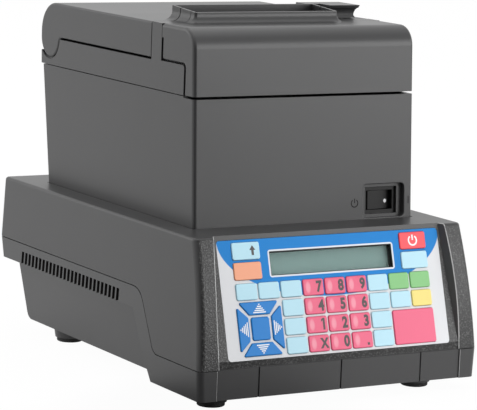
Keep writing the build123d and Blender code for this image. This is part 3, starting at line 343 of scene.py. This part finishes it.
# Plain finishes: size is how fine the grain is, height how deep in millimetres, amount how much the tone drifts
plainFinishes = {
    "rubberBlack": {"colour": (0.012, 0.012, 0.012), "roughness": 0.75, "size": 700.0, "height": 0.05},
    "rollerRubber": {"colour": (0.03, 0.03, 0.03), "roughness": 0.65, "size": 1200.0, "height": 0.03},
    "screwSteel": {"colour": (0.5, 0.5, 0.52), "roughness": 0.35, "size": 2000.0, "height": 0.01, "Metallic": 1.0},
    "sheetSteel": {"colour": (0.55, 0.55, 0.56), "roughness": 0.38, "size": 600.0, "height": 0.01, "Metallic": 1.0},
    "boardGreen": {"colour": (0.01, 0.12, 0.04), "roughness": 0.3, "size": 800.0, "height": 0.03, "amount": 0.3},
    "gearPlastic": {"colour": (0.7, 0.69, 0.64), "roughness": 0.45, "size": 900.0, "height": 0.02},
    "motorMetal": {"colour": (0.4, 0.4, 0.42), "roughness": 0.4, "size": 900.0, "height": 0.02, "Metallic": 1.0},
    "headMetal": {"colour": (0.6, 0.6, 0.62), "roughness": 0.35, "size": 900.0, "height": 0.01, "Metallic": 1.0},
    "switchBlack": {"colour": (0.008, 0.008, 0.008), "roughness": 0.34, "size": 1200.0, "height": 0.01,
                    "Specular_IOR_Level": 0.22},
    "linerBlack": {"colour": (0.008, 0.008, 0.008), "roughness": 0.6, "size": 1200.0, "height": 0.01},
    "printWhite": {"colour": (0.82, 0.83, 0.84), "roughness": 0.4, "size": 1200.0, "height": 0.005, "amount": 0.03},
    "printBlack": {"colour": (0.025, 0.018, 0.02), "roughness": 0.4, "size": 1200.0, "height": 0.005, "amount": 0.03},
    "printDark": {"colour": (0.004, 0.004, 0.004), "roughness": 0.6, "size": 1200.0, "height": 0.005, "amount": 0.03,
                  "Specular_IOR_Level": 0.15},
}


# The main board in one piece: lacquered board, black parts on it, plated sockets at the rear
def makeMainBoard():
    look = {"boardTop": 16.65, "socketsFrom": 86.0, "roughness": 0.35, "green": (0.01, 0.12, 0.04),
            "black": (0.015, 0.015, 0.016), "plated": (0.55, 0.55, 0.57)}
    material, tree, shader = newMaterial("mainBoardParts", look["green"], look["roughness"])
    at = objectXYZ(tree)
    over = maths(tree, "GREATER_THAN", at["Z"], look["boardTop"] * mm)
    rear = maths(tree, "MULTIPLY", over, maths(tree, "GREATER_THAN", at["Y"], look["socketsFrom"] * mm))
    parts = colourMix(tree, over, look["green"], look["black"])
    giveTone(tree, shader, colourMix(tree, rear, parts, look["plated"]), amount=0.15)
    feed(tree, rear, shader.inputs["Metallic"])
    giveGrain(tree, shader, size=800.0, spread=0.08)
    return material


# Key caps: a tint and a roughness, and how strongly a highlight is painted along the left of the domed ones
keyColours = {
    "keyPink": ((0.76, 0.10, 0.20), 0.30, 0.24), "keyTotal": ((0.76, 0.10, 0.20), 0.30, 0.0),
    "keyPale": ((0.46, 0.72, 0.83), 0.40, 0.0), "keyBlue": ((0.0, 0.195, 0.58), 0.42, 0.0),
    "keyGreen": ((0.22, 0.52, 0.20), 0.40, 0.0), "keyOrange": ((0.86, 0.37, 0.22), 0.40, 0.0),
    "keyYellow": ((0.82, 0.68, 0.20), 0.40, 0.0), "keyRed": ((0.86, 0.07, 0.09), 0.36, 0.0),
}


def makeKeyMaterial(name, colour, roughness, paintedShine):
    paintedCrescent = {"centre": (-3.5, 0.0), "half": (1.7, 3.3), "fadesAt": 1.5, "colour": (1.0, 0.85, 0.88)}
    material, tree, shader = newMaterial(name, colour, roughness, Specular_IOR_Level=0.30)
    place = useGroup(tree, panelGroup)
    aside = cellOffset(tree, place["U"], 0.0, keyGrid["pitchU"])
    above = cellOffset(tree, place["V"], keyGrid["firstV"], keyGrid["pitchV"])
    # A painted highlight: a pale curved patch on the left of each key in the grid, standing in for light on the dome
    away = ellipseReach(tree, aside, above, paintedCrescent["centre"], paintedCrescent["half"])
    glow = ramp(tree, away, paintedCrescent["fadesAt"], 0.0, end=paintedShine, kind="SMOOTHSTEP")
    giveTone(tree, shader, colourMix(tree, glow, colour, paintedCrescent["colour"]), amount=0.05)
    giveGrain(tree, shader, size=1400.0, spread=0.06)
    return material


# Printed faceplate: pale grey, a blue field under an arc at the top, a white line round the display
def makeFaceplatePrint():
    look = {"grey": (0.70, 0.71, 0.73), "blue": (0.0, 0.205, 0.59), "line": (0.74, 0.78, 0.82),
            "arcCentre": (0.5, 66.0), "arcHalf": (73.0, 34.3), "arcSoft": 0.006,
            "corner": 1.6, "lineSoft": 0.08, "roughness": 0.45}
    material, tree, shader = newMaterial("faceplatePrint", look["grey"], look["roughness"], Specular_IOR_Level=0.2)
    place = useGroup(tree, panelGroup)
    reach = ellipseReach(tree, place["U"], place["V"], look["arcCentre"], look["arcHalf"])
    field = ramp(tree, reach, 1.0 + look["arcSoft"], 1.0 - look["arcSoft"])
    beyond = []
    for output, centre, half in zip("UV", display["centre"], display["line"]):
        past = maths(tree, "SUBTRACT", awayFrom(tree, place[output], centre), half - look["corner"])
        beyond.append(maths(tree, "MAXIMUM", past, 0.0))
    away = maths(tree, "SQRT", squareSum(tree, *beyond))
    line = ramp(tree, away, look["corner"] + look["lineSoft"], look["corner"] - look["lineSoft"])
    ground = colourMix(tree, field, look["grey"], look["blue"])
    giveTone(tree, shader, colourMix(tree, line, ground, look["line"]), amount=0.05)
    giveGrain(tree, shader, size=1300.0, spread=0.06, strength=0.3, height=0.015)
    return material


# Unlit display: grey green with faint cells of the character grid, in a black frame
def makeDisplayFace():
    look = {"between": (0.195, 0.335, 0.312), "cell": (0.183, 0.318, 0.297), "frame": (0.01, 0.012, 0.012),
            "pitch": (4.6, 6.2), "middle": (1.3, 53.7), "gap": 0.16, "roughness": 0.5}
    material, tree, shader = newMaterial("displayFace", look["cell"], look["roughness"], Specular_IOR_Level=0.2)
    place = useGroup(tree, panelGroup)
    inCell, inField = [], []
    for index, output in enumerate("UV"):
        pitch, middle = look["pitch"][index], look["middle"][index]
        aside = maths(tree, "ABSOLUTE", cellOffset(tree, place[output], middle, pitch))
        inCell.append(maths(tree, "LESS_THAN", aside, pitch * (1 - look["gap"]) / 2))
        away = awayFrom(tree, place[output], display["centre"][index])
        inField.append(maths(tree, "LESS_THAN", away, display["field"][index]))
    cells = colourMix(tree, maths(tree, "MULTIPLY", *inCell), look["between"], look["cell"])
    framed = colourMix(tree, maths(tree, "MULTIPLY", *inField), look["frame"], cells)
    giveTone(tree, shader, framed, amount=0.08, Size=25.0)
    return material


def makeClearWindow():
    material, tree, shader = newMaterial("clearWindow", colour=(0.35, 0.40, 0.39), roughness=0.06,
                                         IOR=1.45, Alpha=0.07)
    giveGrain(tree, shader, size=60.0, spread=0.03)
    return material


finishes = {name: makeCasing(name, **look) for name, look in casings.items()}
finishes.update({name: mouldedMaterial(name, **look) for name, look in plainFinishes.items()})
finishes.update({name: makeKeyMaterial(name, *look) for name, look in keyColours.items()})
finishes.update({"mainBoardParts": makeMainBoard(), "faceplatePrint": makeFaceplatePrint(),
                 "displayFace": makeDisplayFace(), "clearWindow": makeClearWindow()})

nodeFinishes = {
    "casingFrame": ["base_upper_case"],
    "casingBase": ["base_lower_case"],
    "casingPrinter": ["printer_lower_case", "printer_mid_frame", "top_cover", "front_cover", "cover_release_lever"],
    "rubberBlack": ["rubber_feet"], "rollerRubber": ["platen_roller"],
    "screwSteel": ["case_screws", "hinge_pins"], "sheetSteel": ["mechanism_frame", "cutter_blade"],
    "gearPlastic": ["platen_gear", "drive_gear"], "motorMetal": ["feed_motor"], "headMetal": ["print_head"],
    "boardGreen": ["keypad_circuit_board"], "mainBoardParts": ["main_board"],
    "faceplatePrint": ["keypad_faceplate"], "displayFace": ["lcd_module"], "clearWindow": ["lcd_window"],
    "switchBlack": ["power_switch_housing", "power_switch_rocker"],
    "keyPink": [f"key_digit_{digit}" for digit in range(10)] + ["key_multiply", "key_point"],
    "keyTotal": ["key_total"],
    "keyPale": ["key_select", "key_enter", "key_erase", "key_void", "key_discount", "key_correct",
                "key_department_1", "key_department_2", "key_department_3", "key_department_4",
                "key_price_lookup", "key_paper_feed", "key_document"],
    "keyBlue": ["key_menu", "key_cursor_up", "key_cursor_down", "key_cursor_left", "key_cursor_right"],
    "keyGreen": ["key_currency", "key_credit"], "keyOrange": ["key_drawer"],
    "keyYellow": ["key_subtotal"], "keyRed": ["key_power"],
}
for finish, names in nodeFinishes.items():
    for name in names:
        nodes[name].data.materials.clear()
        nodes[name].data.materials.append(finishes[finish])
print("materials placed on", sum(len(names) for names in nodeFinishes.values()), "nodes")


# From millimetres in a plane to metres in the room
def placeAt(origin, right, up):
    turn = Matrix((right, up, right.cross(up))).transposed().to_4x4()
    return Matrix.Translation(origin) @ turn @ Matrix.Scale(mm, 4)


def outwardMesh(name, mesh, place, body, material):
    mesh.transform(place)
    mesh.update()
    if mesh.polygons[0].normal.dot(place.to_3x3() @ Vector((0, 0, 1))) < 0:
        mesh.flip_normals()
    return finishMesh(name, mesh, body, material)


# Prints are flat and stand just proud of what they are printed on
def printFaces(name, outlines, place, body, material):
    mesh = bpy.data.meshes.new(name)
    points, faces = [], []
    for outline in outlines:
        faces.append(tuple(range(len(points), len(points) + len(outline))))
        points.extend((x, y, 0.0) for x, y in outline)
    mesh.from_pydata(points, [], faces)
    return outwardMesh(name, mesh, place, body, material)


def bar(x, y, width, height):
    return [(x - width / 2, y - height / 2), (x + width / 2, y - height / 2),
            (x + width / 2, y + height / 2), (x - width / 2, y + height / 2)]


def onCircle(radius, angle):
    return radius * math.cos(angle), radius * math.sin(angle)


# A ring open at the top, in short four-sided pieces, with a stroke through the opening
def powerSymbol(radius, width):
    ring = {"from": math.radians(125), "to": math.radians(415), "steps": 28, "strokeMiddle": 0.62, "stroke": 1.15}
    inner, outer = radius - width / 2, radius + width / 2
    step = (ring["to"] - ring["from"]) / ring["steps"]
    parts = []
    for index in range(ring["steps"]):
        a = ring["from"] + step * index
        b = a + step
        parts.append([onCircle(inner, a), onCircle(outer, a), onCircle(outer, b), onCircle(inner, b)])
    return parts + [bar(0, radius * ring["strokeMiddle"], width, radius * ring["stroke"])]


def meshOf(holder):
    return bpy.data.meshes.new_from_object(holder.evaluated_get(bpy.context.evaluated_depsgraph_get()))


# Outlines are thickened a little, so that the digits are as bold as printed ones
def printGlyph(name, text, height, squeeze, place, body, material):
    bold = {"offset": 0.022, "bevel_depth": 0.026, "bevel_resolution": 1}
    curve = bpy.data.curves.new(name, "FONT")
    curve.body = text
    for setting, value in bold.items():
        setattr(curve, setting, value)
    holder = bpy.data.objects.new(name + "Outline", curve)
    bpy.context.scene.collection.objects.link(holder)
    mesh = meshOf(holder)
    bpy.data.objects.remove(holder)
    bpy.data.curves.remove(curve)
    xs = [vertex.co.x for vertex in mesh.vertices]
    ys = [vertex.co.y for vertex in mesh.vertices]
    size = height / (max(ys) - min(ys))
    middle = Matrix.Translation((-(max(xs) + min(xs)) / 2, -(max(ys) + min(ys)) / 2, 0))
    mesh.transform(Matrix.Diagonal((size * squeeze, size, 1.0, 1)) @ middle)
    return outwardMesh(name, mesh, place, body, material)


keyTopW = keyGrid["rise"] + keyGrid["proud"]
digitPlaces = {"7": (-1, 0), "8": (0, 0), "9": (1, 0), "4": (-1, 1), "5": (0, 1), "6": (1, 1),
               "1": (-1, 2), "2": (0, 2), "3": (1, 2), "0": (0, 3)}
signPlaces = {"multiply": (-1, 3), "point": (1, 3)}


def onKeyTop(u, v):
    return placeAt(onPanel(u, v, keyTopW), acrossX, panelUp)


def gridPlace(cell, aside, above):
    return onKeyTop(cell[0] * keyGrid["pitchU"] + aside, keyGrid["firstV"] - cell[1] * keyGrid["pitchV"] + above)


def printDigits():
    digit = {"height": 6.5, "squeeze": 0.84, "aside": 3.7, "above": 0.2}
    one = {"aside": 0.4, "thick": 1.3, "flag": [(-1.3, 1.2), (-0.25, 1.85), (-0.25, 3.25), (-1.3, 2.35)]}
    multiply = {"height": 5.8, "aside": 3.3, "above": 0.0}
    point = {"size": 1.4, "aside": 3.6, "above": -2.4}
    ink = finishes["printBlack"]
    for text, cell in digitPlaces.items():
        place = gridPlace(cell, digit["aside"], digit["above"])
        if text == "1":
            stroke = bar(one["aside"], 0, one["thick"], digit["height"])
            printFaces("digit1", [stroke, one["flag"]], place, "key_digit_1", ink)
        else:
            printGlyph(f"digit{text}", text, digit["height"], digit["squeeze"], place, f"key_digit_{text}", ink)
    printGlyph("multiplySign", "X", multiply["height"], digit["squeeze"],
               gridPlace(signPlaces["multiply"], multiply["aside"], multiply["above"]), "key_multiply", ink)
    printFaces("decimalPoint", [bar(0, 0, point["size"], point["size"])],
               gridPlace(signPlaces["point"], point["aside"], point["above"]), "key_point", ink)


def printSymbols():
    power = {"at": (54.7, 59.4), "radius": 2.7, "width": 0.95}
    printFaces("powerKeySymbol", powerSymbol(power["radius"], power["width"]),
               onKeyTop(*power["at"]), "key_power", finishes["printWhite"])
    arrow = {"at": (-50.6, 59.6), "headWide": 3.9, "headTall": 2.6, "tall": 5.4, "stem": 1.5}
    half, tip = arrow["headWide"] / 2, arrow["tall"] / 2
    neck = tip - arrow["headTall"]
    printFaces("paperFeedArrow", [[(-half, neck), (half, neck), (0, tip)],
                                  bar(0, (neck - tip) / 2, arrow["stem"], neck + tip)],
               onKeyTop(*arrow["at"]), "key_paper_feed", finishes["printBlack"])


# Striped triangles on the cursor keys: one bar repeated and shortened towards the tip
def makeStripeTree():
    tree = bpy.data.node_groups.new("stripedArrow", "GeometryNodeTree")
    for label, kind, value in (("Stripes", "NodeSocketInt", 5), ("Half Base", "NodeSocketFloat", 4.4),
                               ("Height", "NodeSocketFloat", 5.4), ("Share", "NodeSocketFloat", 0.58)):
        item = tree.interface.new_socket(name=label, in_out="INPUT", socket_type=kind)
        item.default_value = value
    tree.interface.new_socket(name="Ink", in_out="INPUT", socket_type="NodeSocketMaterial")
    tree.interface.new_socket(name="Geometry", in_out="OUTPUT", socket_type="NodeSocketGeometry")
    given = addNode(tree, "NodeGroupInput").outputs
    pitch = maths(tree, "DIVIDE", given["Height"], given["Stripes"])
    rise = addNode(tree, "ShaderNodeCombineXYZ")
    feed(tree, pitch, rise.inputs["Y"])
    start = addNode(tree, "ShaderNodeCombineXYZ")
    feed(tree, maths(tree, "MULTIPLY", pitch, 0.5), start.inputs["Y"])
    line = addNode(tree, "GeometryNodeMeshLine")
    feed(tree, given["Stripes"], line.inputs["Count"])
    feed(tree, start.outputs[0], line.inputs["Start Location"])
    feed(tree, rise.outputs[0], line.inputs["Offset"])
    strip = addNode(tree, "GeometryNodeMeshGrid",
                    inputs={"Size X": 1.0, "Size Y": 1.0, "Vertices X": 2, "Vertices Y": 2})
    spread = addNode(tree, "GeometryNodeInstanceOnPoints")
    feed(tree, line.outputs[0], spread.inputs["Points"])
    feed(tree, strip.outputs["Mesh"], spread.inputs["Instance"])
    split = addNode(tree, "ShaderNodeSeparateXYZ")
    feed(tree, addNode(tree, "GeometryNodeInputPosition").outputs[0], split.inputs[0])
    left = maths(tree, "SUBTRACT", 1.0, maths(tree, "DIVIDE", split.outputs["Y"], given["Height"]))
    size = addNode(tree, "ShaderNodeCombineXYZ", inputs={"Z": 1.0})
    feed(tree, maths(tree, "MULTIPLY", maths(tree, "MULTIPLY", left, given["Half Base"]), 2.0), size.inputs["X"])
    feed(tree, maths(tree, "MULTIPLY", pitch, given["Share"]), size.inputs["Y"])
    feed(tree, size.outputs[0], spread.inputs["Scale"])
    whole = addNode(tree, "GeometryNodeRealizeInstances")
    feed(tree, spread.outputs[0], whole.inputs[0])
    inked = addNode(tree, "GeometryNodeSetMaterial")
    feed(tree, whole.outputs[0], inked.inputs["Geometry"])
    feed(tree, given["Ink"], inked.inputs["Material"])
    feed(tree, inked.outputs[0], addNode(tree, "NodeGroupOutput").inputs[0])
    return tree


stripeTree = makeStripeTree()


def stripedArrow(name, place, body):
    ink = finishes["printWhite"]
    holder = bpy.data.objects.new(name + "Holder", bpy.data.meshes.new(name + "Holder"))
    bpy.context.scene.collection.objects.link(holder)
    modifier = holder.modifiers.new("stripes", "NODES")
    modifier.node_group = stripeTree
    sockets = {item.name: item.identifier for item in stripeTree.interface.items_tree if item.in_out == "INPUT"}
    modifier[sockets["Ink"]] = ink
    mesh = meshOf(holder)
    holder.modifiers.remove(modifier)
    bpy.data.objects.remove(holder)
    return outwardMesh(name, mesh, place, body, ink)


def printCursorArrows():
    pad = {"at": (-50.3, 16.6), "upright": 8.4, "sideways": 8.0}
    for side, along, away, reach in (("up", panelUp, -acrossX, "upright"), ("down", -panelUp, acrossX, "upright"),
                                     ("left", -acrossX, -panelUp, "sideways"),
                                     ("right", acrossX, panelUp, "sideways")):
        start = onPanel(*pad["at"], keyTopW) + along * pad[reach] * mm
        stripedArrow(f"cursorArrow{side.title()}", placeAt(start, -away, along), f"key_cursor_{side}")


# A thin black sleeve between the faceplate's opening and the display
def makeDisplayLiner():
    liner = {"thick": 0.35, "top": -0.12, "deep": -1.96}
    (middleU, middleV), (halfU, halfV) = display["centre"], display["opening"]
    points, faces = [], []
    for inset, w in ((0, "top"), (liner["thick"], "top"), (liner["thick"], "deep"), (0, "deep")):
        for u, v in bar(middleU, middleV, 2 * (halfU - inset), 2 * (halfV - inset)):
            points.append(onPanel(u, v, liner[w]))
    for ring in range(4):
        for side in range(4):
            after, beside = (ring + 1) % 4, (side + 1) % 4
            faces.append((ring * 4 + side, ring * 4 + beside, after * 4 + beside, after * 4 + side))
    mesh = bpy.data.meshes.new("displayLiner")
    mesh.from_pydata(points, [], faces)
    finishMesh("displayLiner", mesh, "base", finishes["linerBlack"])


# The printer's front leans back: x across, z up it, and w out of it, in millimetres
front = {"deckY": -83.25, "deckZ": 93.8, "lean": math.atan2(4.45, 71.5)}
frontUp = Vector((0, math.sin(front["lean"]), math.cos(front["lean"])))
frontOut = Vector((0, -math.cos(front["lean"]), math.sin(front["lean"])))


def onFront(x, z, w):
    point = Vector((x, front["deckY"] + (z - front["deckZ"]) * math.tan(front["lean"]), z))
    return (point + frontOut * w) * mm


def printRockerDot():
    rocker = {"x": 52.6, "z": 104.0, "pivot": -7.85, "face": 1.9, "tilt": math.radians(10.0)}
    dot = {"aside": 5.2, "below": 1.0, "radius": 1.15, "proud": 0.03, "points": 24}
    across = acrossX * math.cos(rocker["tilt"]) - frontOut * math.sin(rocker["tilt"])
    out = acrossX * math.sin(rocker["tilt"]) + frontOut * math.cos(rocker["tilt"])
    at = onFront(rocker["x"], rocker["z"], rocker["pivot"])
    at = at + (out * (rocker["face"] + dot["proud"]) + across * dot["aside"] - frontUp * dot["below"]) * mm
    disc = [onCircle(dot["radius"], 2 * math.pi * index / dot["points"]) for index in range(dot["points"])]
    printFaces("rockerDot", [disc], placeAt(at, across, frontUp), "rocker", finishes["printWhite"])


def printSwitchMarks():
    marks = {"symbol": (32.9, 103.2), "radius": 2.2, "width": 0.6,
             "line": (69.7, 103.7), "lineSize": (0.6, 4.2), "proud": 0.03}
    printFaces("switchSymbol", powerSymbol(marks["radius"], marks["width"]),
               placeAt(onFront(*marks["symbol"], marks["proud"]), acrossX, frontUp), "base", finishes["printDark"])
    printFaces("switchLine", [bar(0, 0, *marks["lineSize"])],
               placeAt(onFront(*marks["line"], marks["proud"]), acrossX, frontUp), "base", finishes["printDark"])


printDigits()
printSymbols()
printCursorArrows()
makeDisplayLiner()
printRockerDot()
printSwitchMarks()
print("prints placed")

# Places and sizes in metres from here on, lamps in watts
camera = {"at": (-0.7589, -1.2856, 0.3227), "yaw": math.radians(-30.63), "pitch": math.radians(-8.73),
          "roll": math.radians(2.11), "lens": 192.88, "sensor": 36.0, "shift": (0.0088, -0.0078),
          "clip": (0.05, 60.0)}


def placeCamera():
    data = bpy.data.cameras.new("studioCamera")
    eye = bpy.data.objects.new("studioCamera", data)
    bpy.context.scene.collection.objects.link(eye)
    yaw, pitch, roll = camera["yaw"], camera["pitch"], camera["roll"]
    ahead = Vector((-math.sin(yaw) * math.cos(pitch), math.cos(yaw) * math.cos(pitch), math.sin(pitch)))
    right = ahead.cross(Vector((0, 0, 1))).normalized()
    up = right.cross(ahead)
    turnedRight = right * math.cos(roll) + up * math.sin(roll)
    turnedUp = up * math.cos(roll) - right * math.sin(roll)
    turn = Matrix((turnedRight, turnedUp, -ahead)).transposed().to_4x4()
    eye.matrix_world = Matrix.Translation(camera["at"]) @ turn
    data.sensor_fit = "HORIZONTAL"
    data.sensor_width = camera["sensor"]
    data.lens = camera["lens"]
    data.shift_x, data.shift_y = camera["shift"]
    data.clip_start, data.clip_end = camera["clip"]
    bpy.context.scene.camera = eye


lamps = {
    "leftRear": {"at": (-1.6, 1.3, 0.9), "size": (1.8, 1.4), "power": 11.0},
    "rightFront": {"at": (1.5, -1.75, 0.62), "size": (1.6, 1.0), "power": 21.5},
    "above": {"at": (0.0, 0.3, 2.0), "size": (2.2, 2.2), "power": 14.0},
}


def placeLamps():
    aim = Vector((0, 0, 0.1))
    for name, lamp in lamps.items():
        data = bpy.data.lights.new(name, "AREA")
        data.shape = "RECTANGLE"
        data.size, data.size_y = lamp["size"]
        data.energy = lamp["power"]
        light = bpy.data.objects.new(name, data)
        bpy.context.scene.collection.objects.link(light)
        turn = (aim - Vector(lamp["at"])).to_track_quat("-Z", "Y").to_matrix().to_4x4()
        light.matrix_world = Matrix.Translation(lamp["at"]) @ turn


# The room is white to the camera, and its light is dim on one side, to the left of the front
room = {"dimSide": Vector((-0.5095, -0.8605, 0.0)).normalized(), "white": (1, 1, 1, 1),
        "wallFrom": (0.70, 0.96), "wallLight": (1.0, 0.03),
        "floorFrom": (0.75, 0.97), "floorLight": (0.9, 0.06), "floorHalf": 9.0,
        "floorColour": (0.82, 0.82, 0.82), "floorRoughness": 0.9,
        "seen": 0.97, "mirrored": 0.6}


def dimming(tree, direction, edges, light):
    turn = addNode(tree, "ShaderNodeVectorMath", operation="DOT_PRODUCT")
    turn.inputs[1].default_value = room["dimSide"]
    feed(tree, direction, turn.inputs[0])
    return ramp(tree, turn.outputs["Value"], *edges, *light, kind="SMOOTHSTEP")


def shaderMix(tree, factor, first, second, target):
    mix = addNode(tree, "ShaderNodeMixShader")
    feed(tree, factor, mix.inputs["Fac"])
    feed(tree, first.outputs[0], mix.inputs[1])
    feed(tree, second.outputs[0], mix.inputs[2])
    feed(tree, mix.outputs[0], target.inputs["Surface"])


def makeWorld():
    world = bpy.data.worlds.new("studio")
    bpy.context.scene.world = world
    world.use_nodes = True
    tree = world.node_tree
    tree.nodes.clear()
    place = addNode(tree, "ShaderNodeTexCoord")
    soft = addNode(tree, "ShaderNodeBackground", inputs={"Color": room["white"]})
    dim = dimming(tree, place.outputs["Generated"], room["wallFrom"], room["wallLight"])
    feed(tree, dim, soft.inputs["Strength"])
    plain = addNode(tree, "ShaderNodeBackground", inputs={"Color": room["white"], "Strength": 1.0})
    path = addNode(tree, "ShaderNodeLightPath").outputs
    seen = maths(tree, "MAXIMUM", path["Is Camera Ray"], path["Is Transmission Ray"])
    shaderMix(tree, seen, soft, plain, addNode(tree, "ShaderNodeOutputWorld"))


def makeFloor():
    half = room["floorHalf"]
    mesh = bpy.data.meshes.new("floor")
    mesh.from_pydata([(x, y, 0) for x, y in bar(0, 0, 2 * half, 2 * half)], [], [(0, 1, 2, 3)])
    material, tree, shader = newMaterial("floorWhite", room["floorColour"], room["floorRoughness"])
    aim = addNode(tree, "ShaderNodeVectorMath", operation="NORMALIZE")
    feed(tree, addNode(tree, "ShaderNodeTexCoord").outputs["Object"], aim.inputs[0])
    shade = dimming(tree, aim.outputs[0], room["floorFrom"], room["floorLight"])
    # Painted shade: the floor's colour is darker towards the dim side, and in reflections it glows as bright as that
    # shade
    feed(tree, shade, shader.inputs["Base Color"])
    path = addNode(tree, "ShaderNodeLightPath").outputs
    glow = addNode(tree, "ShaderNodeEmission", inputs={"Color": room["white"]})
    feed(tree, maths(tree, "MAXIMUM", path["Is Camera Ray"], shade), glow.inputs["Strength"])
    seen = maths(tree, "MULTIPLY", path["Is Camera Ray"], room["seen"])
    seen = maths(tree, "MAXIMUM", seen, maths(tree, "MULTIPLY", path["Is Glossy Ray"], room["mirrored"]))
    seen = maths(tree, "MAXIMUM", seen, maths(tree, "MULTIPLY", path["Is Transmission Ray"], room["seen"]))
    shaderMix(tree, seen, shader, glow, tree.nodes["Material Output"])
    finishMesh("floor", mesh, None, material)


placeCamera()
placeLamps()
makeWorld()
makeFloor()
bpy.context.scene.view_settings.view_transform = "Standard"
print("camera, light and floor placed")
